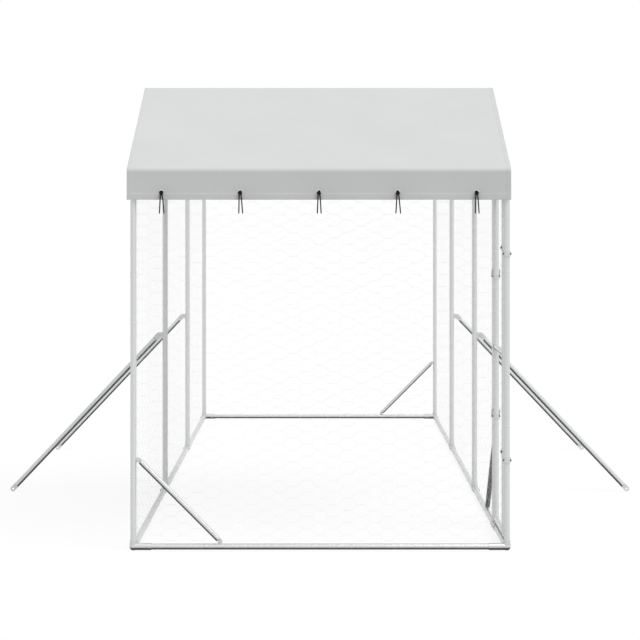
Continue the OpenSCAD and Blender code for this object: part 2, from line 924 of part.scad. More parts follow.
latch_zs = [latch_low_z, latch_high_z];
fork_gap = 5;
prong_gap = 0.5;
prong_in = band_d / 2 + prong_gap;
latch_ear = 2 * (prong_in - fork_gap);
latch_mid = latch_gap / 2;
latch_wall = 3;
latch_boss_d = latch_pin_d + 2 * latch_wall;
prong_over = 4;
prong_past = tube_d / 2 + prong_over;

// Clamp band round the latch stile, with the fork's bearing along Y
module latch_band() {
  difference() {
    union() {
      clamp_body();
      translate([-latch_ear / 2, 0, -latch_boss_d / 2]) cube([latch_ear, latch_mid, latch_boss_d]);
      translate([0, latch_mid, 0]) rotate([0, 90, 0])
        cylinder(d = latch_boss_d, h = latch_ear, center = true);
    }
    clamp_bores();
    translate([0, latch_mid, 0]) rotate([0, 90, 0])
      cylinder(d = latch_pin_d + 2 * pin_gap, h = latch_ear + 2 * over, center = true);
  }
}

module latch_bands() {
  color(cast) for (z = latch_zs) translate([px, latch_y, z]) latch_band();
}

module door_bolts() {
  color(dull) {
    for (z = hinge_zs) translate([px, stile_y, z + eye_up]) clamp_bolts();
    for (z = latch_zs) translate([px, latch_y, z]) clamp_bolts();
  }
}

// Fork with its pin along X and its prongs along Y, then leaned back to its stored place
module latch(z) {
  color(cast) translate([px, latch_y + latch_mid, z]) rotate([latch_lift, 0, 0]) {
    rotate([0, 90, 0]) cylinder(d = latch_pin_d, h = 2 * prong_in + prong_t, center = true);
    for (s = [-1, 1]) translate([s * (prong_in + prong_t / 2), 0, 0]) rotate([90, 0, 90])
      linear_extrude(prong_t, center = true) {
        circle(d = prong_h);
        translate([0, -prong_h / 2]) square([latch_mid + prong_past, prong_h]);
      }
  }
}

module upper_latch() {
  latch(latch_high_z);
}

module lower_latch() {
  latch(latch_low_z);
}

corner_posts();
middle_posts();
door_post();
front_bottom_rail();
back_bottom_rail();
left_bottom_rails();
right_bottom_rails();
front_eave_rail();
rear_eave_rail();
middle_cross_rail();
back_top_rail();
left_top_rails();
right_top_rails();
ridge_rail();
front_rafters();
rear_rafters();
bottom_corner_fittings();
bottom_tee_fittings();
eave_fittings();
top_tee_fittings();
back_top_fittings();
ridge_fittings();
fitting_screws();
front_brace();
back_brace();
side_brace();
brace_lugs();
stay_lugs();
lug_bolts();
front_net();
back_net();
left_nets();
right_nets();
cover_front_valance();
cover_front_slope();
cover_rear_slope();
cover_rear_valance();
eyelets();
tie_loops();
tie_knots();
tie_tails();
hinge_pintles();
pintle_bolts();
door_hinge_stile();
door_latch_stile();
door_top_rail();
door_mid_rail();
door_bottom_rail();
door_caps();
door_net();
hinge_eyes();
latch_bands();
door_bolts();
upper_latch();
lower_latch();
stay_left_near();
stay_right_near();
stay_left_far();
stay_right_far();
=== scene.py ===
"""Outdoor dog kennel run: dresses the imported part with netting, cover, ties, finishes and a stage."""
import json
import math
from functools import cache

import bpy
import numpy as np
from bpy.props import FloatProperty, FloatVectorProperty, PointerProperty
from bpy.types import Operator, Panel, PropertyGroup
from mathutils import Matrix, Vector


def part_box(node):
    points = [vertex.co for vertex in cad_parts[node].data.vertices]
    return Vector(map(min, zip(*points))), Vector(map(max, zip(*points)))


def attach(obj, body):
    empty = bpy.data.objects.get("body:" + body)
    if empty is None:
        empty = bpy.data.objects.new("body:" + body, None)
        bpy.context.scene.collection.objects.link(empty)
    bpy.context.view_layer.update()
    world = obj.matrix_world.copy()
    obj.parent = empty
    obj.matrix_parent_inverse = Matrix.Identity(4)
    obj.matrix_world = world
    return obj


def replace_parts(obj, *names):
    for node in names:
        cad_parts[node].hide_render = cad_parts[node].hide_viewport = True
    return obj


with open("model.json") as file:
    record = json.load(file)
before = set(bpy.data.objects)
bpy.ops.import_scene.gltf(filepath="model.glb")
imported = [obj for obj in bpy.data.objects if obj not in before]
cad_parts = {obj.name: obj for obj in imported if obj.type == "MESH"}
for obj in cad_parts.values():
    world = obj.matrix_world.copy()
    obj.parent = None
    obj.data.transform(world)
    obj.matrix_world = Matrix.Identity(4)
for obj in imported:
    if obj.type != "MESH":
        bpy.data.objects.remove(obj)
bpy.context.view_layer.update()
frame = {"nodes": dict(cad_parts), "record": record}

bl_info = {
    "name": "Kennel run",
    "version": (1, 0, 0),
    "blender": (4, 5, 0),
    "location": "3D View > Sidebar > Kennel run",
    "description": "Dresses the packed dog kennel run with netting, cover, ties, finishes and a stage",
    "category": "Object",
}


def middle(node):
    """Centre of a CAD node's box."""
    low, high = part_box(node)
    return (low + high) / 2


def thickness(node, axis):
    """Size of a CAD node's box along one axis."""
    low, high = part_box(node)
    return high[axis] - low[axis]


# Lines of the frame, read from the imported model
TUBE_R = thickness("front_eave_rail", 2) / 2
FRONT_EAVE = middle("front_eave_rail")
REAR_EAVE = middle("rear_eave_rail")
RIDGE = middle("ridge_rail")
POST_X = middle("right_top_rails").x
CROSS_RAILS = ("front_eave_rail", "rear_eave_rail", "middle_cross_rail", "back_top_rail")
POST_YS = [middle(n).y for n in CROSS_RAILS]
DOOR_POST_Y = middle("door_post").y
FOOT_Z = middle("front_bottom_rail").z
EAVE_Z = FRONT_EAVE.z
STILE_YS = [middle(n).y for n in ("door_hinge_stile", "door_latch_stile")]
DOOR_RAIL_R = thickness("door_mid_rail", 2) / 2
DOOR_RAIL_ZS = [middle(n).z for n in ("door_bottom_rail", "door_mid_rail", "door_top_rail")]
COVER_W = thickness("cover_front_slope", 0)
COVER_X = middle("cover_front_slope").x
COVER_OFF = FRONT_EAVE.y - middle("cover_front_valance").y
REAR_W = thickness("cover_rear_valance", 0)
REAR_SIDES = (-REAR_W / 2 - COVER_X, REAR_W / 2 - COVER_X)
FRONT_HEM_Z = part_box("cover_front_valance")[0].z
REAR_HEM_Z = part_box("cover_rear_valance")[0].z

# Places that the part's source names too
NOTCH_PAST_EAVE = 0.006
NOTCH_Y = REAR_EAVE.y + NOTCH_PAST_EAVE
TIE_COUNT = 5
TIE_PITCH = 0.414
EYELET_UP = 0.040
EYELET_AXES = [[1, 0, 0], [0, 0, 1], [0, -1, 0]]
KNOT_R = 0.0105
KNOT_OUT = FRONT_EAVE.y - KNOT_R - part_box("tie_knots")[0].y
KNOT_BELOW = 0.004
BRACE_EYE_R = 0.011
LUG_OUT = 0.0073


def length(name, text, default):
    """A length setting in metres."""
    return FloatProperty(name=name, description=text, default=default, min=0.0, unit="LENGTH",
                         subtype="DISTANCE", precision=5)


def colour(name, text, default):
    """A colour setting in linear light."""
    return FloatVectorProperty(name=name, description=text, default=default, size=3, min=0.0, max=1.0,
                               subtype="COLOR")


class KennelSizes(PropertyGroup):
    """Sizes of the pieces that are modelled here."""

    wire_d: length("Netting wire", "Diameter of a netting wire", 0.0005)
    mesh_column: length("Mesh column", "Distance from one column of twists to the next", 0.0722)
    mesh_row: length("Mesh row", "Height of one six-sided mesh", 0.0638)
    mesh_twist: length("Twist", "Length of a twist of two wires", 0.040)
    edge_wire_d: length("Edge wire", "Diameter of the wire round a netting panel", 0.0010)
    binding_d: length("Binding wire", "Diameter of the wire that binds a panel to the tubes", 0.0009)
    cloth_t: length("Cloth", "Thickness of the roof cloth", 0.0015)
    hem_depth: length("Hem", "Depth of the front and rear hems", 0.030)
    side_hem: length("Side hem", "Depth of the hems along the sides", 0.022)
    cloth_sag: length("Sag", "Sag in the middle of each roof slope", 0.011)
    fold_r: length("Fold radius", "Radius of the eave folds between two ties", 0.026)
    stitch_pitch: length("Stitch", "Distance from one stitch to the next", 0.006)
    cord_d: length("Tie cord", "Diameter of the tie cord", 0.0066)
    eyelet_d: length("Eyelet", "Outer diameter of an eyelet", 0.027)
    eyelet_hole: length("Eyelet hole", "Inner diameter of an eyelet", 0.0154)
    weld_d: length("Weld", "Width of a weld bead", 0.0042)


class KennelColours(PropertyGroup):
    """Colours of the finishes, in linear light."""

    tube: colour("Tube", "Galvanised tube", (0.77, 0.78, 0.785))
    fitting: colour("Fitting", "Cast and galvanised fitting", (0.70, 0.71, 0.715))
    hardware: colour("Hardware", "Dull zinc clamp bolts", (0.11, 0.112, 0.115))
    wire: colour("Wire", "Galvanised netting wire", (0.92, 0.925, 0.93))
    cover: colour("Cover", "Coated roof cloth", (0.705, 0.720, 0.712))
    cord: colour("Cord", "Braided tie cord", (0.012, 0.012, 0.013))
    eyelet: colour("Eyelet", "Plated eyelet", (0.90, 0.90, 0.89))
    cap: colour("Cap", "Moulded end cap", (0.022, 0.022, 0.024))
    floor: colour("Floor", "Pale floor", (0.50, 0.50, 0.50))


def sizes():
    return bpy.context.scene.kennel_sizes


def colours():
    return bpy.context.scene.kennel_colours


# Meshes: a part is (points, quads, uv of each quad corner)


def unit(v):
    return v / np.linalg.norm(v, axis=-1, keepdims=True)


def turn(count):
    """Angles of even steps round a circle."""
    return np.arange(count) * 2 * math.pi / count


def circle(angles):
    """Points of a unit circle."""
    return np.stack([np.cos(angles), np.sin(angles)], -1)


def distances(path):
    """Distance along a path at each of its points."""
    return np.concatenate([[0], np.cumsum(np.linalg.norm(np.diff(path, axis=0), axis=1))])


def joined(parts):
    """Several parts as one."""
    start, points, quads, uvs = 0, [], [], []
    for p, q, uv in parts:
        points.append(p)
        quads.append(q + start)
        uvs.append(uv)
        start += len(p)
    return np.concatenate(points), np.concatenate(quads), np.concatenate(uvs)


def placed(part, origin, axes):
    """A part moved from its own axes (rows of axes) to the frame."""
    points, quads, uv = part
    return np.asarray(origin) + points @ np.asarray(axes, float), quads, uv


def linked(name, data):
    """A new object in the scene."""
    made = bpy.data.objects.new(name, data)
    bpy.context.scene.collection.objects.link(made)
    return made


def solid(name, part, material, body):
    """A mesh object from a part, riding on a body."""
    points, quads, uv = part
    mesh = bpy.data.meshes.new(name)
    mesh.vertices.add(len(points))
    mesh.vertices.foreach_set("co", points.astype(np.float32).ravel())
    mesh.loops.add(quads.size)
    mesh.loops.foreach_set("vertex_index", quads.astype(np.int32).ravel())
    mesh.polygons.add(len(quads))
    mesh.polygons.foreach_set("loop_start", np.arange(0, quads.size, 4, dtype=np.int32))
    layer = mesh.uv_layers.new(name="metres")
    layer.data.foreach_set("uv", uv.astype(np.float32).ravel())
    mesh.update(calc_edges=True)
    if mesh.validate():
        raise RuntimeError(f"{name} has faces that Blender had to mend")
    mesh.shade_smooth()
    mesh.materials.append(material)
    made = linked(name, mesh)
    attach(made, body)
    return made


def ring_grid(rows, rings, sides):
    """Quads between rings of points: the row and side of each, and its corners."""
    i, j = np.meshgrid(np.arange(rows), np.arange(sides), indexing="ij")
    k, l = (i + 1) % rings, (j + 1) % sides
    corners = [i * sides + j, i * sides + l, k * sides + l, k * sides + j]
    return i, j, np.stack(corners, -1).reshape(-1, 4)


def sweep(paths, radius, sides, closed=False):
    """Round tubes along paths, an array (paths, points, 3). radius is one number or one a point."""
    paths = np.asarray(paths, float)
    count, n, _ = paths.shape
    if closed:
        along = np.roll(paths, -1, 1) - np.roll(paths, 1, 1)
    else:
        along = np.gradient(paths, axis=1)
    t = unit(along)
    steep = 0.8
    normal = np.where(np.abs(t[:, 0, :1]) < steep, np.array([[1.0, 0, 0]]), np.array([[0, 1.0, 0]]))
    normals = np.empty_like(t)
    for i in range(n):
        normal = unit(normal - t[:, i] * (t[:, i] * normal).sum(-1, keepdims=True))
        normals[:, i] = normal
    if closed:
        normals = untwisted(normals, t)
    binormals = np.cross(t, normals)
    angle = turn(sides)[:, None]
    reach = np.broadcast_to(np.asarray(radius, float), (n,))[None, :, None, None]
    ring = np.cos(angle) * normals[:, :, None] + np.sin(angle) * binormals[:, :, None]
    points = (paths[:, :, None] + reach * ring).reshape(-1, 3)
    i, j, quads = ring_grid(n if closed else n - 1, n, sides)
    step = np.linalg.norm(np.diff(paths, axis=1), axis=-1).mean(0)
    run = np.concatenate([[0], np.cumsum(step)])
    run = np.append(run, run[-1] + step[-1])
    round_v = np.arange(sides + 1) / sides
    u0, u1, v0, v1 = run[i], run[i + 1], round_v[j], round_v[j + 1]
    corners = ((u0, v0), (u0, v1), (u1, v1), (u1, v0))
    uv = np.stack([np.stack(c, -1) for c in corners], 2).reshape(-1, 4, 2)
    if not closed:
        lid = np.array([[m, m + 1, sides - 2 - m, sides - 1 - m] for m in range(sides // 2 - 1)])
        quads = np.concatenate([quads, lid[:, ::-1], lid + (n - 1) * sides])
        uv = np.concatenate([uv, np.zeros((2 * len(lid), 4, 2))])
    quads = (quads[None] + (np.arange(count) * n * sides)[:, None, None]).reshape(-1, 4)
    return points, quads, np.tile(uv, (count, 1, 1))


def untwisted(normals, t):
    """Normals along closed paths, turned evenly so that the last ring meets the first."""
    last = normals[:, -1] - t[:, 0] * (t[:, 0] * normals[:, -1]).sum(-1, keepdims=True)
    side = np.cross(t[:, 0], normals[:, 0])
    gap = np.arctan2((last * side).sum(-1), (last * normals[:, 0]).sum(-1))
    twist = -gap[:, None] * np.linspace(0, 1, normals.shape[1])[None, :]
    return normals * np.cos(twist)[..., None] + np.cross(t, normals) * np.sin(twist)[..., None]


def smooth_path(points, count):
    """A smooth line through points, evenly spaced."""
    points = np.asarray(points, float)
    ends = np.concatenate([[2 * points[0] - points[1]], points, [2 * points[-1] - points[-2]]])
    steps, fine = 24, []
    f = np.linspace(0, 1, steps, endpoint=False)[:, None]
    for a, b, c, d in zip(ends, ends[1:], ends[2:], ends[3:]):
        fine.append(0.5 * (2 * b + (c - a) * f + (2 * a - 5 * b + 4 * c - d) * f**2
                           + (3 * b - a - 3 * c + d) * f**3))
    fine = np.concatenate(fine + [points[-1:]])
    run = distances(fine)
    at = np.linspace(0, run[-1], count)
    return np.stack([np.interp(at, run, fine[:, k]) for k in range(3)], -1)


def path_length(path):
    return float(distances(path)[-1])


def block(low, high):
    """A box between two corners."""
    ends = (low, high)
    points = np.array([[ends[i][0], ends[j][1], ends[k][2]]
                       for i in (0, 1) for j in (0, 1) for k in (0, 1)])
    quads = np.array([[0, 1, 3, 2], [4, 6, 7, 5], [0, 4, 5, 1], [2, 3, 7, 6], [0, 2, 6, 4], [1, 5, 7, 3]])
    return points, quads, points[quads][..., :2]


def lathe(profile, sides):
    """A closed profile of (radius, height) turned round the third axis."""
    profile = np.asarray(profile, float)
    r, height = profile[:, :1], profile[:, 1:]
    a = turn(sides)
    points = np.stack([r * np.cos(a), r * np.sin(a), np.repeat(height, sides, 1)], -1).reshape(-1, 3)
    quads = ring_grid(len(profile), len(profile), sides)[2]
    return points, quads, points[quads][..., :2]


# Materials


def arithmetic(operation, swapped=False):
    """A method that adds a math node of a signal and another value."""
    def method(self, other):
        return self.graph.maths(operation, *((other, self) if swapped else (self, other)))
    return method


class Signal:
    """A node's output: its first, or another by name or place. Arithmetic adds math nodes."""

    __add__, __mul__ = arithmetic("ADD"), arithmetic("MULTIPLY")
    __sub__, __rsub__ = arithmetic("SUBTRACT"), arithmetic("SUBTRACT", swapped=True)
    __truediv__, __rtruediv__ = arithmetic("DIVIDE"), arithmetic("DIVIDE", swapped=True)

    def __init__(self, graph, node, key=0):
        self.graph, self.node, self.key = graph, node, key

    def __getitem__(self, key):
        return Signal(self.graph, self.node, key)

    def maths(self, operation, *others):
        return self.graph.maths(operation, self, *others)


class Graph:
    """A shader node tree, with short ways to add the nodes that come often."""

    def __init__(self, tree):
        self.tree = tree

    def feed(self, node, inputs):
        """Sets a node's inputs, each to a value or a signal."""
        for name, value in inputs.items():
            if isinstance(value, Signal):
                self.tree.links.new(value.node.outputs[value.key], node.inputs[name])
            else:
                node.inputs[name].default_value = value

    def add(self, kind, inputs=None, **settings):
        """A new node with these settings and inputs, as a signal."""
        made = self.tree.nodes.new("ShaderNode" + kind)
        for name, value in settings.items():
            setattr(made, name, value)
        self.feed(made, inputs or {})
        return Signal(self, made)

    def maths(self, operation, *values):
        return self.add("Math", dict(enumerate(values)), operation=operation)

    def mixed(self, factor, a, b):
        return self.add("Mix", {0: factor, 6: a, 7: b}, data_type="RGBA")[2]

    def ranged(self, value, start, end, low=0.0, high=1.0):
        """A value between start and end, spread from low to high."""
        return self.add("MapRange", {0: value, 1: start, 2: end, 3: low, 4: high})

    def noise(self, place, scale, detail, **more):
        return self.add("TexNoise", {"Vector": place, "Scale": scale, "Detail": detail, **more})

    def place(self):
        return self.add("TexCoord")["Object"]

    def unrolled(self):
        return self.add("UVMap", uv_map="metres")

    def axis(self, vector, k):
        return self.add("SeparateXYZ", {0: vector})[k]

    def scaled(self, vector, factor):
        return self.add("VectorMath", {0: vector, "Scale": factor}, operation="SCALE")

    def raised(self, height, strength, distance, **normal):
        """A normal bumped by a height."""
        return self.add("Bump", {"Height": height, "Strength": strength, "Distance": distance, **normal})

    def shared(self, name, inputs):
        """One of the shared effects, built once."""
        group = bpy.data.node_groups.get(name) or EFFECTS[name](name)
        return self.add("Group", inputs, node_tree=group)

    def seen(self):
        """A mask: 1 for rays from the camera, gloss or glass."""
        ray = self.add("LightPath")
        mirrored = ray["Is Glossy Ray"].maths("MAXIMUM", ray["Is Transmission Ray"])
        return ray["Is Camera Ray"].maths("MAXIMUM", mirrored)


class Effect(Graph):
    """A new shader node group with named inputs, each with its default."""

    kinds = {"Colour": "NodeSocketColor", "Vector": "NodeSocketVector", "Normal": "NodeSocketVector"}

    def __init__(self, name, inputs):
        super().__init__(bpy.data.node_groups.new(name, "ShaderNodeTree"))
        for label, default in inputs.items():
            made = self.socket(label, "INPUT")
            if default is not None:
                made.default_value = default
        self.given = Signal(self, self.tree.nodes.new("NodeGroupInput"))

    def socket(self, label, way):
        kind = self.kinds.get(label.split()[-1], "NodeSocketFloat")
        return self.tree.interface.new_socket(name=label, in_out=way, socket_type=kind)

    def result(self, **values):
        """The group, with these outputs."""
        for label in values:
            self.socket(label, "OUTPUT")
        self.feed(self.tree.nodes.new("NodeGroupOutput"), values)
        return self.tree


class Finish(Graph):
    """The node tree of a new material. Shader inputs are named with _ for a space."""

    def __init__(self, name, **inputs):
        self.material = bpy.data.materials.new(name)
        self.material.use_nodes = True
        super().__init__(self.material.node_tree)
        self.shader = next(n for n in self.tree.nodes if n.type == "BSDF_PRINCIPLED")
        self.result(**inputs)

    def result(self, **inputs):
        """The material, with these shader inputs."""
        self.feed(self.shader, {label.replace("_", " "): value for label, value in inputs.items()})
        return self.material


def opaque(rgb):
    return (*rgb, 1.0)


GREY = opaque((0.6, 0.6, 0.6))
WHITE = opaque((1.0, 1.0, 1.0))


def zinc_grain(name):
    """Crystals, rolling streaks and fine grain of a galvanised surface."""
    g = Effect(name, {"Base Colour": GREY, "Crystal": 0.008, "Contrast": 0.08, "Base Roughness": 0.4})
    streak_scale, grain_scale, crystal_share, crystal_height = 6.0, 420.0, 0.45, 0.4
    grain_dull, crystal_dull = 0.08, 0.04
    place = g.place()
    cell = g.add("TexVoronoi", {"Vector": place, "Scale": 1.0 / g.given["Crystal"], "Randomness": 1.0})
    tone = g.add("SeparateColor", {0: cell["Color"]})
    streak, grain = g.noise(place, streak_scale, 4.0), g.noise(place, grain_scale, 2.0)
    swing = (tone * crystal_share + streak * (1 - crystal_share) - 0.5) * g.given["Contrast"]
    rough = (grain - 0.5) * grain_dull + (tone - 0.5) * crystal_dull
    return g.result(Colour=g.scaled(g.given["Base Colour"], swing * 2.0 + 1.0),
                    Roughness=rough + g.given["Base Roughness"],
                    Height=grain * (1 - crystal_height) + tone * crystal_height)


def painted_underside_shade(name):
    """Painted shade: the base colour made darker on surfaces that face down, with a ragged edge."""
    g = Effect(name, {"Base Colour": GREY, "Amount": 0.92})
    starts, full, ragged, dark_share, patch_scale = -0.09, -0.30, 0.15, 0.065, 30.0
    base, spots = g.given["Base Colour"], g.add("TexCoord")
    patches = g.noise(spots["Object"], patch_scale, 4.0)
    level = (patches - 0.5) * ragged + g.axis(spots["Normal"], 2)
    mask = g.ranged(level, starts, full) * g.given["Amount"]
    return g.result(Colour=g.mixed(mask, base, g.scaled(base, dark_share)), Mask=mask)


def ground_dust_and_top_shade(name):
    """Thin dust fading up from the ground, and a band on low upward faces, partly dust and partly painted
    shade.
    """
    g = Effect(name, {"Base Colour": GREY, "Dust Colour": (0.20, 0.195, 0.185, 1), "Top": 0.25,
                      "Amount": 0.2, "Settled": 0.0})
    settles_below, settles_facing, patch_scale = (0.1, 0.7), (0.6, 0.92), 35.0
    spots = g.add("TexCoord")
    place, upward = spots["Object"], g.axis(spots["Normal"], 2)
    height = g.axis(place, 2)
    low = 1.0 - g.ranged(height, 0.0, g.given["Top"])
    near = 1.0 - g.ranged(height, *settles_below)
    thin = low * g.noise(place, patch_scale, 5.0) * g.given["Amount"]
    # the band on low upward faces is partly settled dust and partly painted shade
    settled_dust_and_shade = g.ranged(upward, *settles_facing) * near * g.given["Settled"]
    mask = thin.maths("MAXIMUM", settled_dust_and_shade)
    return g.result(Colour=g.mixed(mask, g.given["Base Colour"], g.given["Dust Colour"]), Mask=mask)


def worn_edges(name):
    """Rounded edges with the finish rubbed lighter there."""
    g = Effect(name, {"Base Colour": (0.3, 0.3, 0.3, 1), "Edge Colour": GREY, "Radius": 0.0008,
                      "Amount": 0.5})
    sharpness, patch_scale = 6.0, 160.0
    soft = g.add("Bevel", {"Radius": g.given["Radius"]}, samples=4)
    true = g.add("NewGeometry")["Normal"]
    flat = g.add("VectorMath", {0: soft, 1: true}, operation="DOT_PRODUCT")["Value"]
    edge = ((1.0 - flat) * sharpness).maths("MINIMUM", 1.0)
    mask = edge * g.noise(g.place(), patch_scale, 3.0) * g.given["Amount"]
    return g.result(Colour=g.mixed(mask, g.given["Base Colour"], g.given["Edge Colour"]), Normal=soft)


def crossed_threads(name):
    """Plain weave: the height of threads along two directions that pass over and under each other."""
    g = Effect(name, {"Vector": None, "Pitch": 0.001})
    counts = [g.axis(g.given["Vector"], k) / g.given["Pitch"] for k in (0, 1)]
    waves = [(c * math.pi).maths("SINE").maths("ABSOLUTE") for c in counts]
    whole = [c.maths("FLOOR") for c in counts]
    over = (whole[0] + whole[1]).maths("FLOORED_MODULO", 2.0)
    return g.result(Height=waves[0] * over + waves[1] * (1.0 - over))


EFFECTS = {
    "Zinc grain": zinc_grain, "Painted underside shade": painted_underside_shade, "Ground dust and top shade": ground_dust_and_top_shade, "Worn edges": worn_edges,
    "Crossed threads": crossed_threads,
}


def zinc_finish(name, rgb, crystal, contrast, roughness, metallic, edge_r, edge_rgb, edge_amount, bump):
    """Zinc-coated steel: grain, painted underside shade, worn edges, and ground dust with some painted top
    shade.
    """
    dust_amount, settled_dust_and_shade, dull, bump_depth = 0.1, 0.15, 0.4, 0.0004
    m = Finish(name)
    grain = m.shared("Zinc grain", {"Base Colour": opaque(getattr(colours(), rgb)), "Crystal": crystal,
                                    "Contrast": contrast, "Base Roughness": roughness})
    # painted shade: surfaces that face down made darker, and in the result also rougher and less metallic
    dark = m.shared("Painted underside shade", {"Base Colour": grain["Colour"]})
    edges = m.shared("Worn edges", {"Base Colour": dark["Colour"], "Edge Colour": opaque(edge_rgb),
                                    "Radius": edge_r, "Amount": edge_amount})
    dust = m.shared("Ground dust and top shade", {"Base Colour": edges["Colour"], "Amount": dust_amount,
                                    "Settled": settled_dust_and_shade})
    return m.result(Base_Color=dust["Colour"],
                    Roughness=dark["Mask"] * dull + (dust["Mask"] * dull + grain["Roughness"]),
                    Metallic=dark["Mask"] * -metallic + metallic,
                    Normal=m.raised(grain["Height"], bump, bump_depth, Normal=edges["Normal"]))


def wire_finish():
    """Drawn and galvanised netting wire."""
    m = Finish("Galvanised wire", Metallic=0.2)
    grain = m.shared("Zinc grain", {"Base Colour": opaque(colours().wire), "Crystal": 0.012,
                                    "Contrast": 0.2, "Base Roughness": 0.42})
    dust = m.shared("Ground dust and top shade", {"Base Colour": grain["Colour"], "Amount": 0.15})
    return m.result(Base_Color=dust["Colour"], Roughness=grain["Roughness"])


def cloth_finish():
    """Coated woven roof cloth, matt, with faint clouds and creases, and painted highlight on the threads'
    crests.
    """
    m = Finish("Roof cloth", Sheen_Weight=0.08, Sheen_Roughness=0.5, Specular_IOR_Level=0.35)
    thread_pitch, thread_depth, thread_bump, crest_light_share = 0.0011, 0.00025, 0.35, 0.06
    crease_depth, crease_bump, crease_dull, smoothest = 0.004, 0.10, 0.18, 0.62
    place, base = m.unrolled(), np.array(colours().cover)
    weave = m.shared("Crossed threads", {"Vector": place, "Pitch": thread_pitch})["Height"]
    cloud = m.noise(place, 2.6, 5.0, Roughness=0.55)
    crease = m.noise(place, 14.0, 6.0, Distortion=0.8)
    clouded = m.mixed(m.ranged(cloud, 0.0, 1.0, -0.2, 1.2), opaque(base * 0.965),
                      opaque(np.minimum(base * 1.03, 1)))
    # painted highlight: the colour lighter on the crests of the weave
    woven = m.mixed(weave * crest_light_share, clouded, opaque(np.minimum(base * 1.15, 1)))
    creased = m.raised(crease, crease_bump, crease_depth)
    return m.result(Base_Color=woven, Roughness=crease * crease_dull + smoothest,
                    Normal=m.raised(weave, thread_bump, thread_depth, Normal=creased))


def thread_finish():
    """Sewing thread in the cover's colour, with painted shade in the grooves between its plies."""
    m = Finish("Sewing thread", Roughness=0.7, Sheen_Weight=0.2)
    ply = m.add("TexWave", {"Vector": m.unrolled(), "Scale": 900.0, "Distortion": 0.6},
                bands_direction="DIAGONAL")["Fac"]
    base = np.array(colours().cover)
    # painted shade: the colour darker in the grooves of the ply
    return m.result(Base_Color=m.mixed(ply, opaque(base * 0.78), opaque(base * 0.95)),
                    Normal=m.raised(ply, 0.5, 0.0002))


def cord_finish():
    """Black braided cord, its strands crossing round it, darker between them and lighter on them: painted
    shade and highlight.
    """
    m = Finish("Braided cord", Sheen_Weight=0.03, Sheen_Roughness=0.4, Specular_IOR_Level=0.2)
    strands_round, strands_a_metre = 6.0, 420.0
    flat, base = m.unrolled(), np.array(colours().cord)
    along, turns = m.axis(flat, 0) * strands_a_metre, m.axis(flat, 1) * strands_round
    slant = m.add("CombineXYZ", {0: along + turns, 1: along - turns})
    braid = m.shared("Crossed threads", {"Vector": slant, "Pitch": 1.0})["Height"]
    fuzz = m.add("TexNoise", {"Scale": 900.0, "Detail": 2.0})
    # painted shade and highlight: the colour darker between the strands and lighter on their crests
    return m.result(Base_Color=m.mixed(braid, opaque(base * 0.45), opaque(base * 1.7)),
                    Roughness=m.ranged(fuzz, 0.0, 1.0, 0.5, 0.8), Normal=m.raised(braid, 0.8, 0.0004))


def cap_finish():
    """Moulded black plastic with a fine spark-eroded grain."""
    m = Finish("Moulded cap", Specular_IOR_Level=0.45)
    base, grain_scale = np.array(colours().cap), 1400.0
    grain = m.noise(m.place(), grain_scale, 3.0)
    edges = m.shared("Worn edges", {
        "Base Colour": m.mixed(grain, opaque(base * 0.8), opaque(base * 1.25)),
        "Edge Colour": opaque(base * 2.6), "Radius": 0.0008, "Amount": 0.6})
    dust = m.shared("Ground dust and top shade", {"Base Colour": edges["Colour"], "Amount": 0.3})
    return m.result(Base_Color=dust["Colour"], Roughness=m.ranged(grain, 0.0, 1.0, 0.42, 0.6),
                    Normal=m.raised(grain, 0.12, 0.0003, Normal=edges["Normal"]))


# What zinc_finish takes, in its order
ZINC = {
    "tube": ("Galvanised tube", "tube", 0.007, 0.03, 0.24, 0.42, 0.0006, (0.8, 0.8, 0.8), 0.4, 0.012),
    "fitting": ("Galvanised casting", "fitting", 0.004, 0.14, 0.36, 0.5, 0.0012, (0.78, 0.78, 0.78),
                0.6, 0.25),
    "hardware": ("Dull zinc bolt", "hardware", 0.005, 0.22, 0.46, 0.6, 0.0008, (0.40, 0.40, 0.39),
                 0.5, 0.12),
    "eyelet": ("Plated eyelet", "eyelet", 0.003, 0.05, 0.28, 0.35, 0.0003, (0.9, 0.9, 0.89), 0.3, 0.03),
    "weld": ("Galvanised weld", "fitting", 0.002, 0.25, 0.5, 0.8, 0.0004, (0.66, 0.66, 0.66), 0.3, 0.4),
}
OTHERS = {
    "netting": wire_finish, "cover": cloth_finish, "cord": cord_finish, "cap": cap_finish,
    "thread": thread_finish,
}


@cache
def finish_of(name):
    """A finish, made once."""
    return zinc_finish(*ZINC[name]) if name in ZINC else OTHERS[name]()


# Pieces


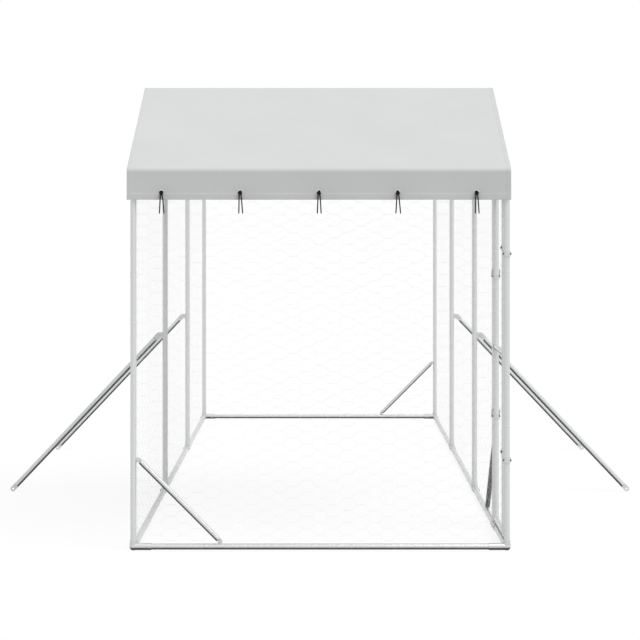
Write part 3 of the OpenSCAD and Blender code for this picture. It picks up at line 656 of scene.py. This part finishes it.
class KENNEL_OT_stage(Operator):
    """Camera, floor, lamps and world"""

    bl_idname = "kennel_run.stage"
    bl_label = "Stage"

    lens, sensor, shift = 102.97, 36.0, (0.0022, -0.178)
    eye, sees_to = (-0.008, -12.632, 1.813), 200.0
    floor_r, floor_z, floor_sides = 60, -0.0006, 64
    floor_seen, floor_glow = (0.12, 0.12, 0.12, 1), 0.89
    sun_power, sun_width = 0.54 * math.pi, math.radians(40)
    sun_tilt = (math.radians(21), math.radians(25), 0)
    world_light, world_seen = 0.5, 1.0

    def execute(self, context):
        self.camera(context.scene)
        self.floor()
        self.lamps()
        self.world(context.scene)
        context.scene.view_settings.view_transform = "Standard"
        return {"FINISHED"}

    def camera(self, scene):
        """A long level lens with its frame shifted down, as in the photograph."""
        data = bpy.data.cameras.new("Camera")
        data.lens, data.sensor_width, data.clip_end = self.lens, self.sensor, self.sees_to
        data.shift_x, data.shift_y = self.shift
        scene.camera = linked("Camera", data)
        scene.camera.location = self.eye
        scene.camera.rotation_euler = (math.pi / 2, 0, 0)

    def floor(self):
        """A wide pale disc just under the feet, bright to the camera and with the object's shadow."""
        mesh = bpy.data.meshes.new("floor")
        rim = [(*p, self.floor_z) for p in self.floor_r * circle(turn(self.floor_sides))]
        mesh.from_pydata(rim, [], [tuple(range(len(rim)))])
        floor = linked("floor", mesh)
        mesh.materials.append(self.floor_finish())

    def floor_finish(self):
        """A white sheet to the camera and to gloss, and a pale one as a source of light."""
        m = Finish("Pale floor", Roughness=0.9, Specular_IOR_Level=0.0, Emission_Color=WHITE)
        base, seen = np.array(colours().floor), m.seen()
        pale = m.mixed(m.noise(m.place(), 3.0, 4.0), opaque(base * 0.99), opaque(base * 1.01))
        return m.result(Base_Color=m.mixed(seen, pale, self.floor_seen),
                        Emission_Strength=seen * self.floor_glow)

    def lamps(self):
        """One broad soft sun from above, in front and to the right."""
        data = bpy.data.lights.new("soft sun", "SUN")
        data.energy, data.angle = self.sun_power, self.sun_width
        linked("soft sun", data).rotation_euler = self.sun_tilt

    def world(self, scene):
        """White where it is seen or mirrored, and dimmer as a light."""
        world = bpy.data.worlds.new("Studio")
        world.use_nodes = True
        g = Graph(world.node_tree)
        back = next(n for n in g.tree.nodes if n.type == "BACKGROUND")
        strength = g.ranged(g.seen(), 0.0, 1.0, self.world_light, self.world_seen)
        g.feed(back, {"Color": WHITE, "Strength": strength})
        scene.world = world


def tie_places():
    """Each tie: (name, x, eave axis, hem height, direction inward, routes of its tails from the knot)."""
    front_tail = np.array([(4, -2, -6), (7, -2, -30), (10, -1, -68), (13, 0, -110)]) / 1000
    straight_tail = np.array([(-4, -2, -6), (-5.5, -2, -30), (-7, -1, -68), (-8.5, 0, -110)]) / 1000
    rear_tail = np.array([(4, -2, -6), (14, -2, -18), (34, -2, -33)]) / 1000
    front, rear = (front_tail, straight_tail), (rear_tail, rear_tail * [-1, 1, 1])
    for label, eave, hem, inward, tails in (("front", FRONT_EAVE, FRONT_HEM_Z, 1, front),
                                            ("rear", REAR_EAVE, REAR_HEM_Z, -1, rear)):
        for i in range(TIE_COUNT):
            x = COVER_X + (i - TIE_COUNT // 2) * TIE_PITCH
            yield f"{label}_{i + 1}", x, eave, hem, inward, tails


class KENNEL_OT_ties(Operator):
    """Cord ties: a loop round the eave rail, a knot at the eyelet and two tails"""

    bl_idname = "kennel_run.ties"
    bl_label = "Tie cords"

    sides, tail_points, tail_end = 10, 24, (0.46, 0.26)
    slack, loop_points, arc_points, inside, rise, into_knot = 0.0003, 110, 33, 0.004, 0.005, 0.004
    knot_points, knot_mean, knot_swing, knot_depth, knot_tall = 96, 0.0060, 0.0028, 0.0044, 1.15
    knot_turn, knot_turn_step = 0.6, 0.37
    sway, sway_step = 0.018, 2.1

    def execute(self, context):
        material, d = finish_of("cord"), sizes().cord_d
        loops, knots = [], []
        taper = np.full(self.tail_points, d / 2)
        taper[-2:] = [share * d for share in self.tail_end]
        for k, (name, x, eave, hem, inward, tails) in enumerate(tie_places()):
            axes = np.array([[1, 0, 0], [0, inward, 0], [0, 0, 1.0]])
            origin = np.array([x, eave.y, eave.z])
            drop = hem + EYELET_UP - eave.z
            loops.append(sweep((origin + self.loop(drop) @ axes)[None], d / 2, self.sides))
            knot = np.array([0, -KNOT_OUT, drop - KNOT_BELOW])
            tied = origin + (knot + self.knot(k)) @ axes
            knots.append(sweep(tied[None], d / 2, self.sides, closed=True))
            for tail, label in zip(tails, ("right", "left")):
                path = origin + smooth_path(knot + self.hang(tail, k), self.tail_points) @ axes
                part = sweep(path[None], taper, self.sides)
                piece = solid(f"tie_tail_{name}_{label}", part, material, "frame")
                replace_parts(piece, "tie_tails")
                path[0]
                path_length(path)
        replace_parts(solid("tie_loops_round_rails", joined(loops), material, "frame"), "tie_loops")
        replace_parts(solid("tie_knots_tied", joined(knots), material, "frame"), "tie_knots")
        return {"FINISHED"}

    def loop(self, drop):
        """From the knot through the eyelet, over the rail and back, in the tie's own axes."""
        half = sizes().cord_d / 2
        r, strand = TUBE_R + self.slack + half, half + self.slack
        d_in, z_in = COVER_OFF - sizes().cloth_t / 2 - half - self.inside, drop + self.rise
        reach, toward = math.hypot(d_in, z_in), math.atan2(z_in, d_in)
        touch = math.acos(r / reach)
        f = np.linspace(0, 1, self.arc_points)
        a = toward + touch + f * (2 * math.pi - 2 * touch)
        arc = np.stack([strand * (2 * f - 1), -r * np.cos(a), r * np.sin(a)], -1)
        lead = np.array([[-strand, -KNOT_OUT + self.into_knot, drop - KNOT_BELOW],
                         [-strand, -COVER_OFF, drop], [-strand, -d_in, z_in]])
        back = lead[::-1] * [-1, 1, 1]
        return smooth_path(np.concatenate([lead, arc, back]), self.loop_points)

    def knot(self, k):
        """A closed overhand knot a little higher than wide, turned a little from tie to tie."""
        t = turn(self.knot_points)
        ring = self.knot_mean + self.knot_swing * np.cos(3 * t)
        a = 2 * t + (self.knot_turn + self.knot_turn_step * (k % TIE_COUNT))
        return np.stack([ring * np.cos(a), self.knot_depth * np.sin(3 * t),
                         self.knot_tall * ring * np.sin(a)], -1)

    def hang(self, tail, k):
        """A tail's route, with a little sway of its own."""
        swing = -self.sway * tail[-1, 2] * math.sin(self.sway_step * k + np.sign(tail[0, 0]))
        return tail + np.linspace(0, 1, len(tail))[:, None] ** 2 * np.array([swing, 0, 0])


class KENNEL_OT_cover(Operator):
    """Roof cover: one sheet over the ridge, folded down at both eaves, with hems and stitching"""

    bl_idname = "kennel_run.cover"
    bl_label = "Roof cover"

    hem_edge = np.array([-0.004, -0.0012, 0, 0.003])
    hem_rise, hem_step = 0.0006, 0.0012
    hem_columns, hem_rows = (0, 0.0015, 0.004, 0.009), (0, 0.0012, 0.004, 0.010, 0.018)
    inner_columns, inner_from, column_gap = 171, 0.032, 0.004
    wall_rows, fold_rows, slope_rows, top_rows = 15, 12, 60, 8
    fold_least, fold_side, side_from = 0.0015, 0.0002, 0.9
    billow, ripple, crease = 0.0045, 0.0007, 0.0013
    seam_in, side_seam_in, row_in, notch_clear = 0.007, 0.006, 0.004, 0.012
    thread_r, thread_sides, bore_sides, eyelet_sides = 0.00035, 4, 32, 48

    def execute(self, context):
        s = sizes()
        self.columns(s)
        self.sheet(s)
        cover = solid("roof_cover", self.closed(s), finish_of("cover"), "frame")
        self.cut_holes(cover, s)
        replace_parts(cover, "cover_front_valance", "cover_front_slope", "cover_rear_slope",
                    "cover_rear_valance")
        stitches = solid("cover_stitching", self.stitching(s), finish_of("thread"), "frame")
        rings = solid("eyelet_rings", self.eyelets(s), finish_of("eyelet"), "frame")
        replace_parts(rings, "eyelets")
        round(float(self.run[-1]), 3)
        return {"FINISHED"}

    def columns(self, s):
        """Places across the width, closer together at the side hems."""
        edge = COVER_W / 2
        step = s.side_hem + self.hem_edge
        hem = np.concatenate([self.hem_columns, step])
        rear = np.concatenate([REAR_SIDES[0] + step, REAR_SIDES[1] - step])
        inside = np.linspace(-edge + self.inner_from, edge - self.inner_from, self.inner_columns)
        inside = inside[np.abs(inside[:, None] - rear[None]).min(1) > self.column_gap]
        self.xs = np.sort(np.concatenate([-edge + hem, inside, rear, edge - hem]))

    def half(self, x, drop, hem_rows):
        """Half a profile at each x, from hem to ridge: places and normals in (inward, up) from the eave."""
        c = COVER_OFF
        run, rise = abs(RIDGE.y - FRONT_EAVE.y), RIDGE.z - EAVE_Z
        p = math.atan2(rise, run)
        between = np.sin(math.pi * x / TIE_PITCH) ** 2 * (np.abs(x) < 2 * TIE_PITCH)
        r = (c + self.fold_least + between * (sizes().fold_r - c - self.fold_least))[:, None]
        r = np.where(np.abs(x)[:, None] > self.side_from, c + self.fold_side, r)
        centre_d, centre_z = r - c, -(r - c) * (1 - math.sin(p)) / math.cos(p)
        up = np.concatenate([hem_rows, np.linspace(hem_rows[-1], 1, self.wall_rows + 1)[1:]])[None, :]
        wall = np.stack([np.broadcast_to(-c, (len(x), up.shape[1])), -drop + up * (centre_z + drop)], -1)
        wall_n = np.broadcast_to([-1.0, 0.0], wall.shape)
        a = np.linspace(math.pi, math.pi / 2 + p, self.fold_rows + 1)[None, 1:]
        fold_n = np.broadcast_to(circle(a), (len(x), self.fold_rows, 2))
        fold = np.stack([centre_d, centre_z], -1) + r[..., None] * fold_n
        a = np.linspace(math.pi / 2 + p, math.pi / 2, self.top_rows)
        top_n = np.broadcast_to(circle(a), (len(x), self.top_rows, 2))
        top = np.array([run, rise]) + c * top_n
        f = np.linspace(0, 1, self.slope_rows + 2)[None, 1:-1, None]
        slope = fold[:, -1:] * (1 - f) + top[:, :1] * f
        slope_n = np.broadcast_to(fold_n[:, -1:], slope.shape)
        return (np.concatenate([wall, fold, slope, top], 1),
                np.concatenate([wall_n, fold_n, slope_n, top_n], 1))

    def sheet(self, s):
        """The sheet's middle surface: places and normals (x, row, [y, z]), with sag, sway and creases."""
        x = self.xs
        halves = []
        for hem, eave, inward in ((FRONT_HEM_Z, FRONT_EAVE, 1), (REAR_HEM_Z, REAR_EAVE, -1)):
            drop = EAVE_Z - hem
            rows = np.concatenate([self.hem_rows, s.hem_depth + self.hem_edge]) / drop
            place, normal = self.half(x, drop, rows)
            place = place + normal * self.drape(x, s, inward, len(rows) + self.wall_rows)[..., None]
            place = np.stack([eave.y + inward * place[..., 0], eave.z + place[..., 1]], -1)
            halves.append((place, normal * [inward, 1]))
        (front, front_n), (rear, rear_n) = halves
        self.place = np.concatenate([front, rear[:, -2::-1]], 1)
        self.normal = np.concatenate([front_n, rear_n[:, -2::-1]], 1)
        self.run = distances(self.place[len(x) // 2])
        self.past = self.place[0, :, 0] > NOTCH_Y
        self.notch_run = self.run[np.argmax(self.past)]

    def drape(self, x, s, inward, wall):
        """How far the cloth stands out along its normal, for each x and row of one half: billows and
        ripples between the ties, and on the slope a sag with a few crossing waves."""
        start, end = wall + self.fold_rows, wall + self.fold_rows + self.slope_rows
        tie = np.sin(math.pi * x / TIE_PITCH) ** 2
        out = np.zeros((len(x), end + self.top_rows))
        free = np.linspace(1, 0, wall) ** 1.4
        out[:, :wall] = self.billow * tie[:, None] * free
        ripple = np.sin(31 * x + inward) + 0.7 * np.sin(53 * x + 2.3 * inward)
        out[:, :wall] += self.ripple * (ripple * tie)[:, None] * free
        f = np.linspace(0, 1, self.slope_rows)
        across = np.clip(1 - (np.abs(x) / 0.95) ** 3, 0, 1)[:, None]
        hollow = np.sin(math.pi * f) ** 0.8
        x = x[:, None]
        wave = (np.sin(9.1 * x + 5.3 * f + inward) + np.sin(5.7 * x - 7.9 * f + 2.0 * inward)
                + 0.5 * np.sin(17.0 * x + 3.1 * f))
        out[:, start:end] = across * hollow * (-s.cloth_sag + self.crease * wave)
        return out

    def hem_mask(self, s):
        """1 on the hems, 0 elsewhere, for each x and row."""
        def within(away, depth):
            return np.clip((depth - away) / self.hem_step + 0.5, 0, 1)
        from_hem = np.minimum(self.run, self.run[-1] - self.run)
        x = self.xs[:, None]
        from_side = np.where(self.past[None, :], np.minimum(x - REAR_SIDES[0], REAR_SIDES[1] - x),
                             COVER_W / 2 - np.abs(x))
        return np.maximum(within(from_hem, s.hem_depth)[None, :], within(from_side, s.side_hem))

    def surface(self, off):
        """The sheet moved along its normals by off, as (x, row, 3)."""
        moved = self.place + self.normal * off[..., None]
        x = np.broadcast_to(COVER_X + self.xs[:, None, None], (*moved.shape[:2], 1))
        return np.concatenate([x, moved], -1)

    def closed(self, s):
        """The cloth as a closed thin solid: outer side, inner side and a rounded edge."""
        nx, ns = self.place.shape[:2]
        n = nx * ns
        self.outer = self.surface(s.cloth_t / 2 + self.hem_rise * self.hem_mask(s))
        inner = self.surface(np.full((nx, ns), -s.cloth_t / 2))
        grid = np.arange(n).reshape(nx, ns)
        quads = np.stack([grid[:-1, :-1], grid[1:, :-1], grid[1:, 1:], grid[:-1, 1:]], -1).reshape(-1, 4)
        flat = np.stack(np.broadcast_arrays(self.xs[:, None], self.run[None, :]), -1).reshape(-1, 2)
        rim = np.concatenate([grid[:, 0], grid[-1, 1:], grid[-2::-1, -1], grid[0, -2:0:-1]])
        outer, inner = self.outer.reshape(-1, 3), inner.reshape(-1, 3)
        push = np.zeros((nx, ns, 3))
        push[0, :, 0], push[-1, :, 0] = -1, 1
        for row, step in ((0, 1), (-1, -2)):
            push[:, row] += unit(self.outer[:, row] - self.outer[:, step])
        bulge = s.cloth_t * 0.45
        edge = (outer[rim] + inner[rim]) / 2 + bulge * unit(push.reshape(-1, 3)[rim])
        ring = 2 * n + np.arange(len(rim))
        after, a, b = np.roll(ring, -1), rim, np.roll(rim, -1)
        sides = [np.stack([b, a, ring, after], -1), np.stack([after, ring, a + n, b + n], -1)]
        faces = np.concatenate([quads, quads[:, ::-1] + n, *sides])
        uv = np.concatenate([flat, flat, flat[rim]])
        return np.concatenate([outer, inner, edge]), faces, uv[faces]

    def at_eyelets(self, part):
        """A turned part at the place of each eyelet."""
        return [placed(part, (x, eave.y - inward * COVER_OFF, hem + EYELET_UP), EYELET_AXES)
                for _, x, eave, hem, inward, _ in tie_places()]

    def cut_holes(self, cover, s):
        """A round hole through the cloth at each eyelet, and the notches over the side rails."""
        axis, r, through, past, deep = 0.0001, s.eyelet_hole / 2 + 0.0011, 0.02, 0.05, 0.08
        profile = [(axis, -through), (r, -through), (r, through), (axis, through)]
        bores = self.at_eyelets(lathe(profile, self.bore_sides))
        for sx in (-1, 1):
            low, high = sorted((sx * REAR_W / 2, sx * (COVER_W / 2 + past)))
            bores.append(block((low, NOTCH_Y, REAR_HEM_Z - past), (high, NOTCH_Y + deep, EAVE_Z + deep)))
        cutter = solid("bores", joined(bores), finish_of("cover"), "frame")
        cut = cover.modifiers.new("holes", "BOOLEAN")
        cut.operation, cut.object, cut.solver = "DIFFERENCE", cutter, "EXACT"
        bpy.context.view_layer.update()
        holed = bpy.data.meshes.new_from_object(cover.evaluated_get(bpy.context.evaluated_depsgraph_get()))
        cover.modifiers.clear()
        cover.data = holed
        bpy.data.objects.remove(cutter)

    def on_cover(self, x, run):
        """Points on the outer side at places across and along the cloth."""
        i = np.clip(np.searchsorted(self.xs, x) - 1, 0, len(self.xs) - 2)
        j = np.clip(np.searchsorted(self.run, run) - 1, 0, len(self.run) - 2)
        fx = ((x - self.xs[i]) / (self.xs[i + 1] - self.xs[i]))[:, None]
        fr = ((run - self.run[j]) / (self.run[j + 1] - self.run[j]))[:, None]
        o = self.outer
        return ((o[i, j] * (1 - fx) + o[i + 1, j] * fx) * (1 - fr)
                + (o[i, j + 1] * (1 - fx) + o[i + 1, j + 1] * fx) * fr)

    def seams(self, s):
        """Both ends of each row of stitches, in (across, along)."""
        end, edge, row_in = self.run[-1], COVER_W / 2 - self.row_in, self.row_in
        rows = []
        for d in (self.seam_in, s.hem_depth - row_in):
            rows += [((-edge, d), (edge, d)),
                     ((REAR_SIDES[0] + row_in, end - d), (REAR_SIDES[1] - row_in, end - d))]
        for d in (self.side_seam_in, s.side_hem - row_in):
            for sx, rear_side in zip((-1, 1), REAR_SIDES):
                outer, inner = sx * (COVER_W / 2 - d), rear_side - sx * d
                rows += [((outer, row_in), (outer, self.notch_run - self.notch_clear)),
                         ((inner, self.notch_run + self.notch_clear), (inner, end - row_in))]
        return rows

    def stitching(self, s):
        """Rows of lock stitches along all four hems, each stitch a short bowed thread."""
        bow = np.array([-0.00015, 0.0002, 0.0002, -0.00015])
        shares, nearby, end = np.linspace(0.08, 0.86, len(bow)), 0.002, self.run[-1]
        paths = []
        for (x0, r0), (x1, r1) in self.seams(s):
            count = int(math.hypot(x1 - x0, r1 - r0) / s.stitch_pitch)
            steps = (np.arange(count) / count)[:, None] + shares[None, :] / count
            x, run = x0 + (x1 - x0) * steps.ravel(), r0 + (r1 - r0) * steps.ravel()
            points = self.on_cover(x, run).reshape(count, len(bow), 3)
            x, run = x[::len(bow)], run[::len(bow)]
            along = (self.on_cover(x, np.minimum(run + nearby, end))
                     - self.on_cover(x, np.maximum(run - nearby, 0)))
            lift = unit(np.cross(np.broadcast_to([1.0, 0, 0], (count, 3)), along))
            paths.append(points + lift[:, None] * bow[None, :, None])
        return sweep(np.concatenate(paths), self.thread_r, self.thread_sides)

    def eyelets(self, s):
        """Rolled two-part eyelets, clamped on both sides of the cloth."""
        hole, rim, half, lip = s.eyelet_hole / 2, s.eyelet_d / 2, s.cloth_t / 2 + 0.00015, 0.001
        bead_r, bead_h, seat = 0.0007, 0.0005, 0.00002
        face = [(hole + 0.0006, half + lip * 0.75), (hole + 0.0016, half + lip),
                (rim - 0.003, half + lip * 0.9), (rim - 0.0014, half + lip)]
        bead = [(rim - bead_r + bead_r * math.sin(t), half + bead_h + bead_h * math.cos(t))
                for t in np.linspace(0, math.pi, 9)]
        under = [(rim - 0.0016, half + seat), (hole + 0.001, half + seat)]
        top = [(hole, half - 0.0002)] + face + bead + under
        mirrored = [(r, -h) for r, h in top[::-1]]
        points, quads, uv = joined(self.at_eyelets(lathe(top + mirrored, self.eyelet_sides)))
        return points, quads[:, ::-1], uv[:, ::-1]


class KENNEL_OT_netting(Operator):
    """Wire netting on every panel, with its edge wire and the wires that bind it to the tubes"""

    bl_idname = "kennel_run.netting"
    bl_label = "Netting"

    side_gap, corner_gap, door_gap = 0.0125, 0.022, 0.0135
    foot_gap, head_gap = 0.0110, 0.0155
    off, door_off = 0.0169, 0.0013
    post_bindings, first_on_post, first_on_stile = 0.27 * np.arange(7), 0.100, 0.14
    first_on_rail, rail_pitch, rail_middle = 0.13, 0.23, 0.05
    twist_points, twist_r = 9, 0.52
    wire_sides, edge_sides, edge_points = 4, 6, 9
    binding_slack, binding_lean, binding_points = 0.0003, 0.0016, (19, 6)

    def execute(self, context):
        low, high = FOOT_Z, EAVE_Z
        x_axis, y_axis, up = np.eye(3)
        tight, corner, width = self.side_gap, self.corner_gap, 2 * POST_X
        panels = [
            ("front_netting", "front_net", (-POST_X, POST_YS[0]), x_axis, y_axis, width, (tight, tight)),
            ("back_netting", "back_net", (-POST_X, POST_YS[3]), x_axis, -y_axis, width, (tight, tight))]
        for i in range(3):
            ends = (corner if i == 0 else tight, corner if i == 2 else tight)
            panels.append((f"left_netting_{i + 1}", "left_nets", (-POST_X, POST_YS[i]), y_axis, x_axis,
                           POST_YS[i + 1] - POST_YS[i], ends))
        for i, start in enumerate((DOOR_POST_Y, POST_YS[1], POST_YS[2])):
            panels.append((f"right_netting_{i + 1}", "right_nets", (POST_X, start), y_axis, -x_axis,
                           POST_YS[i + 1] - start, (tight, corner if i == 2 else tight)))
        levels, heights = (self.foot_gap, self.head_gap), self.first_on_post + self.post_bindings
        for name, node, (x, y), along, inward, span, ends in panels:
            part = self.panel(span, high - low, self.off, TUBE_R, ends, levels, heights)
            part = placed(part, (x, y, low), [along, up, inward])
            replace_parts(solid(name, part, finish_of("netting"), "frame"), node)
        low, high = DOOR_RAIL_ZS[0], DOOR_RAIL_ZS[2]
        part = self.panel(STILE_YS[1] - STILE_YS[0], high - low, TUBE_R + self.door_off, DOOR_RAIL_R,
                          (self.door_gap, self.door_gap), (self.foot_gap, self.foot_gap),
                          self.first_on_stile - low + self.post_bindings)
        part = placed(part, (POST_X, STILE_YS[0], low), [y_axis, up, -x_axis])
        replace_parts(solid("door_netting", part, finish_of("netting"), "door"), "door_net")
        return {"FINISHED"}

    def panel(self, span, height, off, rail_r, sides, levels, heights):
        """Netting between two upright tubes and two level ones: across, up and inward from their lower
        crossing. sides and levels are the gaps from the tubes' centre lines to the panel's edge wires."""
        s = sizes()
        (x0, x1), (z0, z1) = sides, levels
        w, h = span - x0 - x1, height - z0 - z1
        parts = [sweep(self.wires(w, h, s) + [x0, z0, off], s.wire_d / 2, self.wire_sides)]
        corners = np.array([[x0, z0], [x0 + w, z0], [x0 + w, z0 + h], [x0, z0 + h]])
        for start, end in zip(corners, np.roll(corners, -1, 0)):
            line = np.linspace([*start, off], [*end, off], self.edge_points)
            parts.append(sweep(line[None], s.edge_wire_d / 2, self.edge_sides))
        half = np.arange(self.first_on_rail, span / 2 - self.rail_middle, self.rail_pitch)
        places = np.concatenate([half, span - half])
        for tube, edge, r, along, level in ((0, x0, TUBE_R, heights, False),
                                            (span, span - x1, TUBE_R, heights, False),
                                            (0, z0, rail_r, places, True),
                                            (height, height - z1, rail_r, places, True)):
            parts.append(self.binding((tube, 0), (edge, off), r, along, level, s))
        return joined(parts)

    def wires(self, w, h, s):
        """All wires of a panel. Each runs across it and twists by turns with the wires above and below."""
        columns, rows = max(2, round(w / s.mesh_column)), max(2, round(h / (s.mesh_row / 2)))
        pitch, step = w / columns, h / rows
        k = np.arange(rows + 1)[:, None, None]
        c = np.arange(columns)[None, :, None]
        f = np.linspace(0, 1, self.twist_points)[None, None, :]
        above = (k + c) % 2 == 0
        level = (k + np.where(above, 0.5, -0.5)) * step
        angle = 2 * math.pi * f + np.where(above, -0.5, 0.5) * math.pi
        r = s.wire_d * self.twist_r
        up = np.clip(level + r * np.sin(angle), 0, h)
        across = np.broadcast_to((c + 0.5) * pitch + (f - 0.5) * s.mesh_twist, up.shape)
        deep = np.broadcast_to(r * np.cos(angle), up.shape)
        body = np.stack([across, up, deep], -1).reshape(rows + 1, -1, 3)
        ends = np.zeros((rows + 1, 1, 3))
        ends[:, 0, 1] = np.arange(rows + 1) * step
        return np.concatenate([ends, body, ends + [w, 0, 0]], 1)

    def binding(self, tube, edge, tube_r, places, level, s):
        """Wire loops round a tube and the panel's edge wire, at places along the tube. tube and edge
        are (sideways, inward), and level is true for a tube that runs across the panel."""
        d = np.subtract(edge, tube)
        dist, aim = np.hypot(*d), math.atan2(d[1], d[0])
        big = tube_r + self.binding_slack + s.binding_d / 2
        small = s.edge_wire_d / 2 + self.binding_slack + s.binding_d / 2
        part = math.acos((big - small) / dist)
        a = np.linspace(aim + part, aim - part + 2 * math.pi, self.binding_points[0])
        b = np.linspace(aim - part, aim + part, self.binding_points[1])
        ring = np.concatenate([np.array(tube) + big * circle(a), np.array(edge) + small * circle(b)])
        lean = self.binding_lean * np.linspace(-1, 1, len(ring))
        order = [2, 0, 1] if level else [0, 2, 1]
        rings = [np.column_stack([ring, place + lean])[:, order] for place in places]
        return sweep(np.array(rings), s.binding_d / 2, self.edge_sides)


class KENNEL_OT_welds(Operator):
    """Weld beads where the door's rails meet its stiles and the lugs meet their tubes"""

    bl_idname = "kennel_run.welds"
    bl_label = "Weld beads"

    sides, ring_points, line_points = 8, 72, 25
    ring_r, ring_out = 1.03, 0.0008
    line_side, line_out, line_short, line_end = 0.2, 0.0003, 0.0015, 0.45

    def execute(self, context):
        solid("door_weld_beads", joined(self.door_beads()), finish_of("weld"), "door")
        solid("lug_weld_beads", joined(self.lug_beads()), finish_of("weld"), "frame")
        return {"FINISHED"}

    def door_beads(self):
        """A rippled ring at each end of each door rail."""
        a = turn(self.ring_points)
        x, up = DOOR_RAIL_R * np.cos(a), DOOR_RAIL_R * np.sin(a)
        reach = np.sqrt(TUBE_R**2 - np.minimum(x**2, TUBE_R**2)) + self.ring_out
        beads = []
        for z in DOOR_RAIL_ZS:
            for y, toward in zip(STILE_YS, (1, -1)):
                path = np.stack([POST_X + x * self.ring_r, y + toward * reach, z + up * self.ring_r], -1)
                ripple = sizes().weld_d / 2 * (1 + 0.16 * np.sin(18 * a) + 0.05 * np.sin(7 * a + z))
                beads.append(sweep(path[None], ripple, self.sides, closed=True))
        return beads

    def lug_places(self):
        """Each lug pair: its middle on the tube's centre line, the tube's direction, the way out and
        its half height."""
        x_axis, y_axis, up = np.eye(3)
        high, half = middle("stay_lugs").z, thickness("stay_lugs", 2) / 2
        for sx in (-1, 1):
            for y in POST_YS[1:3]:
                yield (sx * POST_X, y, high), up, sx * x_axis, half
        for node, (x, y), out in (("front_brace", (-POST_X, POST_YS[0]), x_axis),
                                  ("back_brace", (POST_X, POST_YS[3]), -x_axis),
                                  ("side_brace", (POST_X, DOOR_POST_Y), y_axis)):
            low, high = (np.array(p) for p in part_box(node))
            far = max(abs((corner - [x, y, 0]) @ out) for corner in (low, high))
            yield (x, y, high[2] - BRACE_EYE_R), up, out, BRACE_EYE_R
            yield np.array([x, y, FOOT_Z]) + out * (far - BRACE_EYE_R), out, up, BRACE_EYE_R

    def lug_beads(self):
        """A rippled line on the outer side of each lug plate, where it meets its tube."""
        f = np.linspace(-1, 1, self.line_points)
        off = LUG_OUT + sizes().weld_d * self.line_side
        reach = math.sqrt(TUBE_R**2 - off**2) + self.line_out
        beads = []
        for k, (place, along, out, half) in enumerate(self.lug_places()):
            ripple = sizes().weld_d / 2 * (0.9 + 0.14 * np.sin(34 * f) + 0.06 * np.sin(11 * f + k))
            ripple[[0, -1]] *= self.line_end
            for s in (-1, 1):
                start = np.asarray(place) + reach * out + off * s * np.cross(along, out)
                path = start + (half - self.line_short) * f[:, None] * along
                beads.append(sweep(path[None], ripple, self.sides))
        return beads


class KENNEL_OT_finishes(Operator):
    """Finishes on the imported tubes, fittings and hardware"""

    bl_idname = "kennel_run.finishes"
    bl_label = "Finishes"

    def execute(self, context):
        slots = {part["node"]: part["material_slot"] for part in frame["record"]["subparts"]}
        for name, node in frame["nodes"].items():
            node.data.materials.clear()
            node.data.materials.append(finish_of(slots[name]))
        return {"FINISHED"}


class KENNEL_PT_panel(Panel):
    """Steps and settings of the kennel run"""

    bl_idname = "KENNEL_PT_panel"
    bl_label = "Kennel run"
    bl_space_type = "VIEW_3D"
    bl_region_type = "UI"
    bl_category = "Kennel run"

    def draw(self, context):
        layout = self.layout
        for step in STEPS:
            layout.operator(step.bl_idname)
        for group in (context.scene.kennel_sizes, context.scene.kennel_colours):
            box = layout.box()
            for name in group.__annotations__:
                box.prop(group, name)


STEPS = (KENNEL_OT_stage, KENNEL_OT_ties, KENNEL_OT_cover, KENNEL_OT_netting, KENNEL_OT_welds,
         KENNEL_OT_finishes)
CLASSES = (KennelSizes, KennelColours, *STEPS, KENNEL_PT_panel)


def register():
    for made in CLASSES:
        bpy.utils.register_class(made)
    bpy.types.Scene.kennel_sizes = PointerProperty(type=KennelSizes)
    bpy.types.Scene.kennel_colours = PointerProperty(type=KennelColours)


def unregister():
    del bpy.types.Scene.kennel_colours
    del bpy.types.Scene.kennel_sizes
    for made in reversed(CLASSES):
        bpy.utils.unregister_class(made)


def main():
    register()
    bpy.ops.kennel_run.stage()
    bpy.ops.kennel_run.ties()
    bpy.ops.kennel_run.cover()
    bpy.ops.kennel_run.netting()
    bpy.ops.kennel_run.welds()
    bpy.ops.kennel_run.finishes()


if __name__ == "__main__":
    main()
